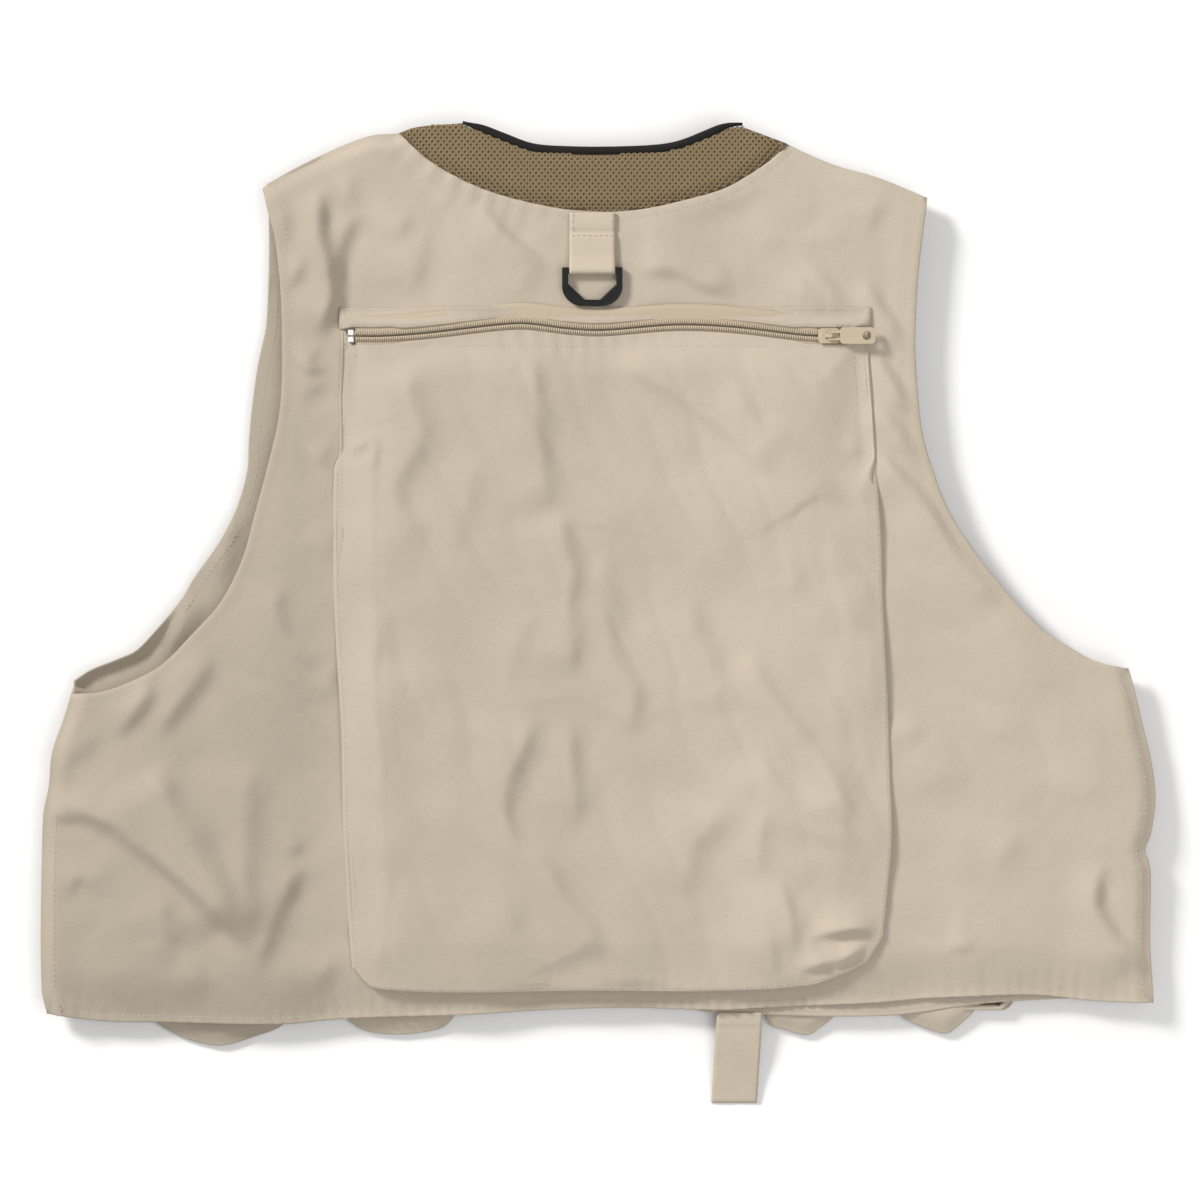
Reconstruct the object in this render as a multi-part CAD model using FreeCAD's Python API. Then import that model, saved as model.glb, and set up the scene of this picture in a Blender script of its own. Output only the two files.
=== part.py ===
import FreeCAD, Part

import os

V = FreeCAD.Vector

# A short fishing vest lying flat on its front, back side up, the collar towards +Y.
# +X is the wearer's right, +Z is up, and Z = 0 is the surface that the front pockets rest on.
# Millimetres. Every cloth is drawn as a flat slab of one thickness.

# ---- Whole vest
overall_width = 620.0     # across the waist, over the side seams
overall_length = 548.0    # collar edge to the free end of the hem strap
strap_drop = 50.0         # how far the hem strap hangs below the front hem
front_hem_show = 3.0      # the front hem shows this far below the back hem
seam_wall = 1.2           # thickness of a felled side or shoulder seam
cloth = 0.8               # a cloth with its turnings, laid flat
clearance = 0.3           # between pieces that move past each other

# ---- Outline, from the neck to the hem
shoulder_half = 184.0     # shoulder tip, from the middle
shoulder_drop = 41.0      # shoulder tip, below the collar edge
neck_half = 110.0         # neck point, from the middle
neck_drop = 10.0          # neck point, below the collar edge
neck_dip = 41.0           # depth of the back neck curve
chest_half = 177.0        # narrowest part of the back, between the armholes
chest_drop = 119.0
underarm_drop = 306.0
underarm_inset = 15.0     # underarm point, in from the widest part
waist_drop = 377.0
hem_inset = 2.0

# ---- Collar
collar_half = 76.0        # half the bound edge
collar_dip = 16.5         # depth of the bound edge's curve
binding_width = 4.7
binding_thickness = 3.6
mesh_thickness = 3.0      # spacer mesh

# ---- Heights of the layers
front_pocket_depth = 6.4
body_gap = 7.2            # front to back, where the body goes
back_pocket_depth = 5.2
facing = 0.6
facing_width = 14.0

# ---- Zips: coil, tape and slider
coil_gap = 1.1            # between the two rows
coil_row = 2.35
coil_height = 1.5
tape_thickness = 0.5
tape_width = 12.0
window_gap = 0.8          # slider's side to the cloth edge
slider_length = 12.0
slider_gap = 0.2          # all round the coil and tape
flange = 1.1              # slider's side walls
plate = 1.0
web = 0.6
lug_length = 4.8
lug_width = 2.2
pin_radius = 0.7
pin_gap = 0.05
pin_height = 1.3          # pin's middle above the slider plate
lug_top = 2.7
pull_length = 25.5
pull_half = 4.6
pull_thickness = 1.2
pull_arm = 1.2
pull_arm_length = 6.0
pull_eye_radius = 2.5
pull_eye_from_end = 4.6
pull_corner = 2.2
stop_length = 3.0

# ---- Back cargo pocket and its zip
pocket_left = -146.0
pocket_right = 158.0
pocket_above_hem = 12.0   # back hem to the pocket's bottom edge
pocket_chamfer = 13.0
zip_drop = 120.3          # collar edge to the zip's middle
welt_width = 9.0
zip_left = -136.0
zip_right = 134.0
window_end = 3.0          # cloth past each end of the coil's stops
step_gap = 2.0            # tape's edge to where the pocket rises to its full depth

# ---- Ring and its tab
ring_x = -3.5
tab_width = 25.4
tab_to_bar = 31.8         # tab's hinge to the ring's bar
bar_radius = 1.7
bar_gap = 0.08
ring_side_gap = 0.65
ring_stroke = 3.4
ring_depth = 19.6         # bar's middle to the ring's outer end
ring_flat_outer = 12.0
ring_flat_inner = 8.4
ring_shoulder = 7.5       # straight side below the bar
ring_round = 0.9

# ---- Hem strap
strap_x = 78.7
strap_width = 25.4
strap_layers = 1.6

# ---- Front opening and its zip
front_zip_drop = 134.0    # collar edge to the top of the front zip
front_zip_above_hem = 6.0
box_length = 8.0
front_facing_width = 30.0

# ---- Front pockets, two on each front, and their flaps
big_inner = 82.0
big_width = 150.0
big_height = 165.0
big_flap = 55.0
chest_inner = 50.0
chest_width = 100.0
chest_height = 108.0
chest_flap = 42.0
chest_pocket_drop = 144.0  # collar edge to the chest flap's hinge
big_above_hem = 2.0
pad = 0.6                  # hook or loop tape
pad_width = 20.0
pad_length = 50.0
mouth_gap = 20.0           # pocket mouth, below the flap's hinge
flap_slope = 18.0          # the flap comes down over the mouth within this
tip_gap = 4.0              # flap's free edge to the step in the pocket face
flap_overhang = 2.0
ear_depth = 19.0           # boxed pocket corners below the pocket's bottom
ear_thickness = 1.6
ear_width = 50.0
ear_inset = 6.0
ear_slope = 0.25

# ---- Places that follow from the sizes
slider_half = coil_gap / 2 + coil_row + slider_gap + flange
window_half = slider_half + window_gap   # cloth edge to the zip's middle
top_y = overall_length / 2
front_hem_y = -overall_length / 2 + strap_drop
back_hem_y = front_hem_y + front_hem_show
front_z = front_pocket_depth + cloth
front_top = front_z + cloth
back_z = front_top + body_gap
back_top = back_z + cloth
pocket_z = back_top + back_pocket_depth
waist_half = overall_width / 2 - seam_wall
zip_y = top_y - zip_drop
zip_z = back_top + clearance + plate + slider_gap + tape_thickness
nodes = {}


def outline(start, *steps):
    """A closed flat face. A step is a point for a line, or (middle, end) for an arc."""
    edges = []
    here = V(start[0], start[1], 0)
    for step in steps + (start,):
        if isinstance(step[0], tuple):
            end = V(step[1][0], step[1][1], 0)
            edges.append(Part.Arc(here, V(step[0][0], step[0][1], 0), end).toShape())
        else:
            end = V(step[0], step[1], 0)
            edges.append(Part.LineSegment(here, end).toShape())
        here = end
    return Part.Face(Part.Wire(edges))


def slab(face, z, thickness):
    """The flat face as a slab that stands on z."""
    raised = face.copy()
    raised.translate(V(0, 0, z))
    return raised.extrude(V(0, 0, thickness))


def block(x0, x1, y0, y1, z0, z1):
    """A box between two corners."""
    return Part.makeBox(x1 - x0, y1 - y0, z1 - z0, V(x0, y0, z0))


def rod_x(x0, x1, y, z, radius):
    """A round rod along X."""
    return Part.makeCylinder(radius, x1 - x0, V(x0, y, z), V(1, 0, 0))


def mirrored(shape):
    """The same piece on the other side of the vest."""
    return shape.mirror(V(0, 0, 0), V(1, 0, 0))


def add_pair(name, right_shape):
    """Adds a right piece and its mirrored left one."""
    nodes[name + "_right"] = right_shape
    nodes[name + "_left"] = mirrored(right_shape)


# ---- Outline points of the right half
neck = (neck_half, top_y - neck_drop)
neck_left = (-neck_half, neck[1])
shoulder = (shoulder_half, top_y - shoulder_drop)
chest = (chest_half, top_y - chest_drop)
underarm = (waist_half - underarm_inset, top_y - underarm_drop)
waist = (waist_half, top_y - waist_drop)
armhole_x = underarm[0] - chest[0]
armhole_y = underarm[1] - chest[1]


def on_armhole(across, down):
    """A point between the chest and underarm points, as shares of the way out and down."""
    return (chest[0] + across * armhole_x, chest[1] + down * armhole_y)


armhole_bend = on_armhole(0.034, 0.305)
armhole_turn = on_armhole(0.22, 0.604)
armhole_scoop = on_armhole(0.573, 0.872)


def side_corner(hem_y):
    """Where the right side meets a hem, on one line for the front and the back."""
    return (waist_half - hem_inset * (waist[1] - hem_y) / (waist[1] - front_hem_y), hem_y)


def right_edge(hem_y):
    """Steps from the neck point down the right side to the hem."""
    return [shoulder, chest, (armhole_bend, armhole_turn), (armhole_scoop, underarm), waist,
            side_corner(hem_y)]


def left_edge(hem_y):
    """The same edge on the left, from the hem up to the neck point."""
    def flip(point):
        return (-point[0], point[1])
    return [flip(side_corner(hem_y)), flip(waist), flip(underarm),
            (flip(armhole_scoop), flip(armhole_turn)), (flip(armhole_bend), flip(chest)),
            flip(shoulder)]


# ---- Back panel: one cloth from side seam to side seam, with the back neck curve
neck_curve = ((0, neck[1] - neck_dip), neck)
back_face = outline(neck_left, neck_curve, *right_edge(back_hem_y), *left_edge(back_hem_y))
nodes["back_panel"] = slab(back_face, back_z, cloth)

# ---- Collar: spacer mesh sewn to the neck curve, its free edge bound in tape
bound_right = (collar_half, top_y)
bound_left = (-collar_half, top_y)
bound_middle = (0, top_y - collar_dip)
inner_right = (collar_half, top_y - binding_width)
inner_left = (-collar_half, top_y - binding_width)
inner_middle = (0, top_y - collar_dip - binding_width)
mesh_z = back_z + cloth / 2 - mesh_thickness / 2
mesh_face = outline(neck_left, neck_curve, inner_right, (inner_middle, inner_left))
nodes["collar_mesh"] = slab(mesh_face, mesh_z, mesh_thickness)
binding_face = outline(inner_left, (inner_middle, inner_right), bound_right,
                       (bound_middle, bound_left))
nodes["collar_binding"] = slab(binding_face, back_z + cloth / 2 - binding_thickness / 2,
                               binding_thickness)

# ---- Armhole facings: strips on the inside of the back, along each armhole
armhole_area = block(chest_half - facing_width * 1.6, waist_half, underarm[1], shoulder[1],
                     back_z - facing, back_z)
inner_cut = slab(back_face, back_z - facing, facing)
facing_strip = inner_cut.common(armhole_area)
inner_cut.translate(V(-facing_width, -facing_width * 0.7, 0))
add_pair("armhole_facing", facing_strip.cut(inner_cut))

# ---- Side and shoulder seams: they close the front to the back along the panel edges
seam_height = back_top - front_z
corner = side_corner(back_hem_y)
side_face = outline(underarm, (underarm[0] + seam_wall, underarm[1]),
                    (waist[0] + seam_wall, waist[1]), (corner[0] + seam_wall, corner[1]),
                    corner, waist)
add_pair("side_seam", slab(side_face, front_z, seam_height))
shoulder_run = V(shoulder[0] - neck[0], shoulder[1] - neck[1], 0)
shoulder_out = V(-shoulder_run.y, shoulder_run.x, 0).normalize() * seam_wall
shoulder_face = outline(neck, shoulder, (shoulder[0] + shoulder_out.x, shoulder[1] + shoulder_out.y),
                        (neck[0] + shoulder_out.x, neck[1] + shoulder_out.y))
add_pair("shoulder_seam", slab(shoulder_face, front_z, seam_height))

# ---- Back cargo pocket: an outer panel on a bellows gusset, with the zip across its top
pocket_top = zip_y + window_half + welt_width
pocket_bottom = back_hem_y + pocket_above_hem


def pocket_outline(inset):
    """The pocket's edge, moved in by inset."""
    left, right = pocket_left + inset, pocket_right - inset
    low, high, cut = pocket_bottom + inset, pocket_top - inset, pocket_chamfer
    return outline((left + cut, low), (right - cut, low), (right, low + cut), (right, high),
                   (left, high), (left, low + cut))


def split_heights(face, low_z, high_z, low_top, high_top):
    """The face as one solid that is lower beside the zip than over the pocket's body."""
    body_area = block(pocket_left, pocket_right, pocket_bottom, step_y, high_z, high_top)
    zip_area = block(pocket_left, pocket_right, step_y, pocket_top, low_z, low_top)
    body = slab(face, high_z, high_top - high_z).common(body_area)
    return body.fuse(slab(face, low_z, low_top - low_z).common(zip_area))


step_y = zip_y - tape_width - step_gap
window_left = zip_left - stop_length - window_end
window_right = zip_right + stop_length + window_end
window = block(window_left, window_right, zip_y - window_half, pocket_top, zip_z, zip_z + cloth)
riser = block(pocket_left, pocket_right, step_y - cloth, step_y, zip_z, pocket_z + cloth)
panel = split_heights(pocket_outline(0), zip_z, pocket_z, zip_z + cloth, pocket_z + cloth)
nodes["back_pocket_panel"] = panel.fuse(riser).cut(window).removeSplitter()
wall_face = pocket_outline(0).cut(pocket_outline(seam_wall))
gusset = split_heights(wall_face, back_top, back_top, zip_z, pocket_z)
nodes["back_pocket_gusset"] = gusset.cut(riser).removeSplitter()
nodes["back_zip_welt"] = block(window_left, window_right, zip_y + window_half, pocket_top,
                               zip_z, zip_z + cloth)


# ---- Zip parts, drawn along X with the tape's outer face at Z = 0 and the coil above it
def coil_shape(x0, x1, side):
    """One row of the coil, as a rounded bar."""
    near, far = side * coil_gap / 2, side * (coil_gap / 2 + coil_row)
    bar = block(x0, x1, min(near, far), max(near, far), 0, coil_height)
    long_edges = [e for e in bar.Edges if e.BoundBox.XLength > 1 and e.BoundBox.ZMax > 0.1]
    return bar.makeFillet(coil_height * 0.4, long_edges)


def tape_shape(x0, x1, side):
    """One woven tape, under its row of coil."""
    near, far = side * coil_gap / 2, side * tape_width
    return block(x0, x1, min(near, far), max(near, far), -tape_thickness, 0)


def stop_shape(x0, side):
    """A crimped stop over the end of one row."""
    near, far = side * coil_gap / 2, side * (coil_gap / 2 + coil_row + 0.4)
    return block(x0, x0 + stop_length, min(near, far), max(near, far), 0, coil_height)


plate_z = coil_height + slider_gap
plate_top = plate_z + plate
pin_z = plate_top + pin_height


def slider_shape():
    """The slider: two plates round the coil, a thin divider, side flanges and a lug."""
    half = slider_length / 2
    low = -tape_thickness - slider_gap - plate
    coil_edge = coil_gap / 2 + coil_row + slider_gap
    upper = block(-half, half, -slider_half, slider_half, plate_z, plate_top)
    lower = block(-half, half, -slider_half, slider_half, low, low + plate)
    corners = [e for e in upper.Edges if e.BoundBox.ZLength > plate * 0.9]
    upper = upper.makeFillet(pull_corner, corners)
    corners = [e for e in lower.Edges if e.BoundBox.ZLength > plate * 0.9]
    lower = lower.makeFillet(pull_corner, corners)
    divider = block(-half, half, -web / 2, web / 2, low + plate, plate_z)
    body = upper.fuse([lower, divider])
    flange_half = half - pull_corner
    for side in (-1, 1):
        near, far = side * coil_edge, side * slider_half
        body = body.fuse(block(-flange_half, flange_half, min(near, far), max(near, far),
                               slider_gap, plate_z))
    lug = block(-lug_length / 2, lug_length / 2, -lug_width / 2, lug_width / 2, plate_top,
                plate_top + lug_top)
    crown = [e for e in lug.Edges
             if e.BoundBox.YLength > lug_width * 0.9 and e.BoundBox.ZMin > plate_top + 1]
    lug = lug.makeFillet(lug_length * 0.25, crown)
    bore = Part.makeCylinder(pin_radius + pin_gap, lug_width + 2, V(0, -lug_width / 2 - 1, pin_z),
                             V(0, 1, 0))
    return body.fuse(lug).cut(bore).removeSplitter()


def pull_shape():
    """The pull: a flat tab with an eye, on two arms with a pin through the lug."""
    arm_in = lug_width / 2 + clearance
    arm_out = arm_in + pull_arm
    pin = Part.makeCylinder(pin_radius, arm_out * 2, V(0, -arm_out, pin_z), V(0, 1, 0))
    z0 = pin_z - pull_thickness / 2
    z1 = z0 + pull_thickness
    tab = block(pull_arm_length, pull_length, -pull_half, pull_half, z0, z1)
    corners = [e for e in tab.Edges if e.BoundBox.ZLength > pull_thickness * 0.9]
    tab = tab.makeFillet(pull_corner, corners)
    eye = Part.makeCylinder(pull_eye_radius, pull_thickness + 2,
                            V(pull_length - pull_eye_from_end, 0, z0 - 1))
    arms = [block(-pin_radius, pull_arm_length + 1, near, near + pull_arm, z0, z1)
            for near in (arm_in, -arm_out)]
    return pin.fuse(arms).fuse(tab).cut(eye).removeSplitter()


def place_back(shape, x=0):
    """Puts a zip part on the back pocket's zip."""
    placed = shape.copy()
    placed.translate(V(x, zip_y, zip_z))
    return placed


back_slider_x = zip_right - slider_length / 2 - clearance
nodes["back_zip_tape_upper"] = place_back(tape_shape(window_left, window_right, 1))
nodes["back_zip_tape_lower"] = place_back(tape_shape(window_left, window_right, -1))
nodes["back_zip_coil_upper"] = place_back(coil_shape(zip_left, zip_right, 1))
nodes["back_zip_coil_lower"] = place_back(coil_shape(zip_left, zip_right, -1))
nodes["back_zip_end_stop"] = place_back(Part.Compound(
    [stop_shape(zip_left - stop_length, side) for side in (-1, 1)]))
nodes["back_zip_top_stops"] = place_back(Part.Compound(
    [stop_shape(zip_right, side) for side in (-1, 1)]))
nodes["back_zip_slider"] = place_back(slider_shape(), back_slider_x)
nodes["back_zip_pull"] = place_back(pull_shape(), back_slider_x)

# ---- Ring tab and ring: a folded cloth tab from the neck seam, round the ring's bar
loop_radius = bar_radius + bar_gap + cloth
bar_z = back_top + clearance + loop_radius
neck_bottom = neck[1] - neck_dip
tab_thickness = 2 * cloth
tab_z = back_top + clearance + tab_thickness / 2
tab_y = neck_bottom - clearance - tab_thickness / 2 - 0.1
bar_y = tab_y - tab_to_bar
tab_x0 = ring_x - tab_width / 2
tab_x1 = ring_x + tab_width / 2
tab = block(tab_x0, tab_x1, bar_y, tab_y, tab_z - tab_thickness / 2, tab_z + tab_thickness / 2)
tab = tab.fuse(rod_x(tab_x0, tab_x1, tab_y, tab_z, tab_thickness / 2))
tab = tab.fuse(rod_x(tab_x0, tab_x1, bar_y, bar_z, loop_radius))
nodes["ring_tab"] = tab.cut(rod_x(tab_x0 - 1, tab_x1 + 1, bar_y, bar_z, bar_radius + bar_gap))

inner_half = tab_width / 2 + ring_side_gap
outer_half = inner_half + ring_stroke
flat_out = ring_flat_outer / 2
flat_in = ring_flat_inner / 2
low_out = bar_y - ring_depth
low_in = low_out + ring_stroke
side_y = bar_y - ring_shoulder
high_y = bar_y + bar_radius
swell_x = outer_half - 0.3 * (outer_half - flat_out)
swell_y = low_out + 0.27 * (side_y - low_out)
ring_outer = outline((ring_x - outer_half, high_y), (ring_x - outer_half, side_y),
                     ((ring_x - swell_x, swell_y), (ring_x - flat_out, low_out)),
                     (ring_x + flat_out, low_out),
                     ((ring_x + swell_x, swell_y), (ring_x + outer_half, side_y)),
                     (ring_x + outer_half, high_y))
ring_inner = outline((ring_x - inner_half, high_y + 1), (ring_x - inner_half, side_y),
                     (ring_x - flat_in, low_in), (ring_x + flat_in, low_in),
                     (ring_x + inner_half, side_y), (ring_x + inner_half, high_y + 1))
ring_z = bar_z - ring_stroke / 2
ring = slab(ring_outer, ring_z, ring_stroke).cut(slab(ring_inner, ring_z, ring_stroke))
ring = ring.makeFillet(ring_round, [e for e in ring.Edges if e.BoundBox.ZLength < 0.01])
nodes["d_ring"] = ring.fuse(rod_x(ring_x - inner_half - 1, ring_x + inner_half + 1, bar_y, bar_z,
                                  bar_radius))

# ---- Hem strap: two layers of cloth from the front hem, its end down on the surface
strap_y = front_hem_y - clearance - strap_layers / 2 - 0.5
strap_z = front_z + strap_layers / 2
strap_x0 = strap_x - strap_width / 2
strap_profile = Part.makePolygon([
    V(strap_x0, strap_y, strap_z - strap_layers / 2), V(strap_x0, -overall_length / 2, 0),
    V(strap_x0, -overall_length / 2, strap_layers), V(strap_x0, strap_y, strap_z + strap_layers / 2),
    V(strap_x0, strap_y, strap_z - strap_layers / 2)])
strap = Part.Face(strap_profile).extrude(V(strap_width, 0, 0))
nodes["hem_strap"] = strap.fuse(
    rod_x(strap_x0, strap_x0 + strap_width, strap_y, strap_z, strap_layers / 2))

# ---- Front panels: each from the side seam to the zip, with a sloping neck edge
zip_top_y = top_y - front_zip_drop
zip_bottom_y = front_hem_y + front_zip_above_hem
neck_hollow = ((window_half + neck[0]) / 2 - 9, (zip_top_y + neck[1]) / 2 + 6)
front_face = outline((window_half, zip_top_y), (neck_hollow, neck), *right_edge(front_hem_y),
                     (window_half, front_hem_y))
add_pair("front_panel", slab(front_face, front_z, cloth))
facing_x = window_half + seam_wall
add_pair("front_facing", block(facing_x, facing_x + front_facing_width, front_hem_y, zip_top_y,
                               front_top + tape_thickness, front_top + tape_thickness + facing))

# ---- Front zip: it parts at the bottom, so it ends in a pin and a box
front_zip_length = zip_top_y - zip_bottom_y


def place_front(shape, down=0):
    """Puts a zip part on the front zip: +X turns down the front, +Z out of the front."""
    turned = shape.transformGeometry(FreeCAD.Matrix(0, -1, 0, 0, -1, 0, 0, zip_top_y - down,
                                                    0, 0, -1, front_top, 0, 0, 0, 1))
    return turned


coil_end = front_zip_length - box_length
for side, hand in ((-1, "right"), (1, "left")):
    nodes["front_zip_tape_" + hand] = place_front(tape_shape(0, front_zip_length, side))
    nodes["front_zip_coil_" + hand] = place_front(coil_shape(stop_length, coil_end, side))
nodes["front_zip_top_stops"] = place_front(Part.Compound([stop_shape(0, side) for side in (-1, 1)]))
half_chain = coil_gap / 2 + coil_row
nodes["front_zip_box"] = place_front(block(coil_end, front_zip_length, -coil_gap / 4, half_chain,
                                           0, coil_height + plate))
nodes["front_zip_pin"] = place_front(block(coil_end, front_zip_length, -half_chain,
                                           -coil_gap / 2, 0, coil_height))
front_slider_down = stop_length + slider_length / 2 + clearance
nodes["front_zip_slider"] = place_front(slider_shape(), front_slider_down)
nodes["front_zip_pull"] = place_front(pull_shape(), front_slider_down)

# ---- Front pockets: bellows bags under a flap that closes with hook and loop tape
inner_face_z = cloth + 2 * pad + clearance   # the pocket face steps in here, under the flap


def pocket_panel(x0, x1, bottom, step, mouth):
    """The pocket's face, stepped in under the flap."""
    face = block(x0, x1, bottom, step, 0, cloth)
    riser = block(x0, x1, step - cloth, step, 0, inner_face_z + cloth)
    inner = block(x0, x1, step - cloth, mouth, inner_face_z, inner_face_z + cloth)
    return face.fuse([riser, inner]).removeSplitter()


def pocket_gusset(x0, x1, bottom, step, mouth):
    """The strip round the sides and bottom that gives the pocket its depth."""
    pieces = []
    for near in (x0, x1 - seam_wall):
        pieces.append(block(near, near + seam_wall, bottom, step - cloth, cloth, front_z))
        pieces.append(block(near, near + seam_wall, step - cloth, mouth, inner_face_z + cloth,
                            front_z))
    base = block(x0, x1, bottom, bottom + seam_wall, cloth, front_z)
    return base.fuse(pieces).removeSplitter()


def pocket_ear(x0, x1, bottom):
    """A boxed corner that sticks out below the pocket's bottom seam, pressed flat."""
    slope = (x1 - x0) * ear_slope
    face = outline((x0, bottom), (x1, bottom), (x1 - slope, bottom - ear_depth),
                   (x0 + slope, bottom - ear_depth))
    return slab(face, cloth, ear_thickness)


def flap_shape(x0, x1, hinge_y, drop):
    """The flap, from its sewn edge down over the mouth and flat on the pocket."""
    x0, x1 = x0 - flap_overhang, x1 + flap_overhang
    fold = hinge_y - flap_slope
    profile = Part.makePolygon([
        V(x0, hinge_y, flap_hinge_z - cloth / 2), V(x0, fold, 0), V(x0, hinge_y - drop, 0),
        V(x0, hinge_y - drop, cloth), V(x0, fold, cloth),
        V(x0, hinge_y, flap_hinge_z + cloth / 2), V(x0, hinge_y, flap_hinge_z - cloth / 2)])
    flap = Part.Face(profile).extrude(V(x1 - x0, 0, 0))
    return flap.fuse(rod_x(x0, x1, hinge_y, flap_hinge_z, cloth / 2)).removeSplitter()


def add_front_pocket(name, inner, width, bottom, hinge_y, drop, ears):
    """A pocket and its flap on each front."""
    x0, x1 = inner, inner + width
    step = hinge_y - drop - tip_gap
    mouth = hinge_y - mouth_gap
    gusset = pocket_gusset(x0, x1, bottom, step, mouth)
    if ears:
        gusset = gusset.fuse([pocket_ear(x0 + ear_inset, x0 + ear_inset + ear_width, bottom),
                              pocket_ear(x1 - ear_width, x1, bottom)])
    middle = (x0 + x1) / 2
    pad_x0, pad_x1 = middle - pad_length / 2, middle + pad_length / 2
    pad_y0 = hinge_y - drop + tip_gap
    pad_y1 = pad_y0 + pad_width
    add_pair(name + "_panel", pocket_panel(x0, x1, bottom, step, mouth))
    add_pair(name + "_gusset", gusset)
    add_pair(name + "_loop_pad", block(pad_x0, pad_x1, pad_y0, pad_y1,
                                       inner_face_z - pad, inner_face_z))
    add_pair(name + "_hook_pad", block(pad_x0, pad_x1, pad_y0, pad_y1, cloth, cloth + pad))
    add_pair(name + "_flap", flap_shape(x0, x1, hinge_y, drop))


flap_hinge_z = front_z - clearance - cloth / 2
big_bottom = front_hem_y + big_above_hem
add_front_pocket("lower_pocket", big_inner, big_width, big_bottom, big_bottom + big_height,
                 big_flap, True)
chest_hinge_y = top_y - chest_pocket_drop
add_front_pocket("chest_pocket", chest_inner, chest_width, chest_hinge_y - chest_height,
                 chest_hinge_y, chest_flap, False)

# ---- One STEP file for each piece
os.makedirs("parts", exist_ok=True)
for name, shape in nodes.items():
    shape.exportStep("parts/" + name + ".step")
print(len(nodes), "pieces; total height", round(zip_z + plate_top + lug_top, 2))
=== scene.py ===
import bpy
import numpy as np
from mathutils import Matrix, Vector
from mathutils.geometry import delaunay_2d_cdt


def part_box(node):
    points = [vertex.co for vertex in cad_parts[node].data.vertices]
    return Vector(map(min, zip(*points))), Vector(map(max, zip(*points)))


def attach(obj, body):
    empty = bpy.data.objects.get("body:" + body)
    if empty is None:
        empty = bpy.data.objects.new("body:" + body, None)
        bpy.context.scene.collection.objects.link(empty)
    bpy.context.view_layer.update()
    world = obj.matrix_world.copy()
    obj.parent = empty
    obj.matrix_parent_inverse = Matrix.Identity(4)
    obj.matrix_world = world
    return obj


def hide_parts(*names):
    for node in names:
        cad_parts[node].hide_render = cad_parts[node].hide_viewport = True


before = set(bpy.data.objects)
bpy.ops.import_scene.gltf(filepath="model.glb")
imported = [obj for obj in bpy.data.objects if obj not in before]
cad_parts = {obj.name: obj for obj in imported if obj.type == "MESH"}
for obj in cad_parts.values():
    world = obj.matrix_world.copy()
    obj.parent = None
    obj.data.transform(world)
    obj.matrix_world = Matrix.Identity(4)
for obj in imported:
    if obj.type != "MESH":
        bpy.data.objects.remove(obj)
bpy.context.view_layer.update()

scene = bpy.context.scene

# ---- Table, light and camera
# A plain white table. One broad lamp at the upper left gives the folds their shape, a wide one
# overhead and an even sky fill the shade. The camera looks straight down with a long lens.
scene.view_settings.view_transform = "Standard"
bpy.ops.mesh.primitive_plane_add(size=8)
table = bpy.context.object
table.name = "table"
table_white = bpy.data.materials.new("table_white")
table_white.use_nodes = True
table_shader = table_white.node_tree.nodes["Principled BSDF"]
table_shader.inputs["Base Color"].default_value = (0.93, 0.93, 0.93, 1)
table_shader.inputs["Roughness"].default_value = 0.85
table.data.materials.append(table_white)

sky = bpy.data.worlds.new("studio_sky")
sky.use_nodes = True
sky.node_tree.nodes["Background"].inputs["Color"].default_value = (1.0, 1.0, 1.0, 1)
sky.node_tree.nodes["Background"].inputs["Strength"].default_value = 0.42
scene.world = sky


def lamp(name, place, size, power, colour):
    """A square lamp that faces the vest."""
    light = bpy.data.lights.new(name, "AREA")
    light.size = size
    light.energy = power
    light.color = colour
    lamp_object = bpy.data.objects.new(name, light)
    lamp_object.location = place
    lamp_object.rotation_euler = (-Vector(place)).to_track_quat("-Z", "Y").to_euler()
    scene.collection.objects.link(lamp_object)


lamp("key_lamp", (-2.7, 2.2, 2.1), 0.9, 150, (1.0, 0.985, 0.965))
lamp("top_lamp", (0.9, -0.5, 2.0), 1.8, 18, (1.0, 1.0, 1.0))

view_centre = (0.0008, 0.0072)
view_width = 0.666
camera_height = 2.2
camera = bpy.data.cameras.new("overhead")
camera.sensor_width = 36
camera.lens = 36 * camera_height / view_width
camera_object = bpy.data.objects.new("overhead", camera)
camera_object.location = (view_centre[0], view_centre[1], camera_height + 0.018)
scene.collection.objects.link(camera_object)
scene.camera = camera_object

# ---- Back panel
# One washed cotton and nylon cloth from side seam to side seam, turned and topstitched at the
# armholes and hem, gathered a little where the collar is sewn on. It lies in soft creases.
# Places below are in millimetres, +X the wearer's right and +Y the collar.


def through(points, step):
    """A smooth run through the points, in steps of about that length."""
    spots = [np.array(point, float) for point in points]
    spots = [2 * spots[0] - spots[1]] + spots + [2 * spots[-1] - spots[-2]]
    run = []
    for before, here, there, after in zip(spots, spots[1:], spots[2:], spots[3:]):
        size = np.linalg.norm(there - here)
        leave = (there - before) / np.linalg.norm(there - before) * size
        arrive = (after - here) / np.linalg.norm(after - here) * size
        count = max(1, round(size / step))
        for t in np.arange(count) / count:
            run.append((2 * t**3 - 3 * t**2 + 1) * here + (t**3 - 2 * t**2 + t) * leave
                       + (3 * t**2 - 2 * t**3) * there + (t**3 - t**2) * arrive)
    run.append(spots[-2])
    return np.array(run)


def closed(*runs):
    """One closed edge from runs that each start where the last one ends."""
    return np.concatenate([run[:-1] for run in runs])


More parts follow.
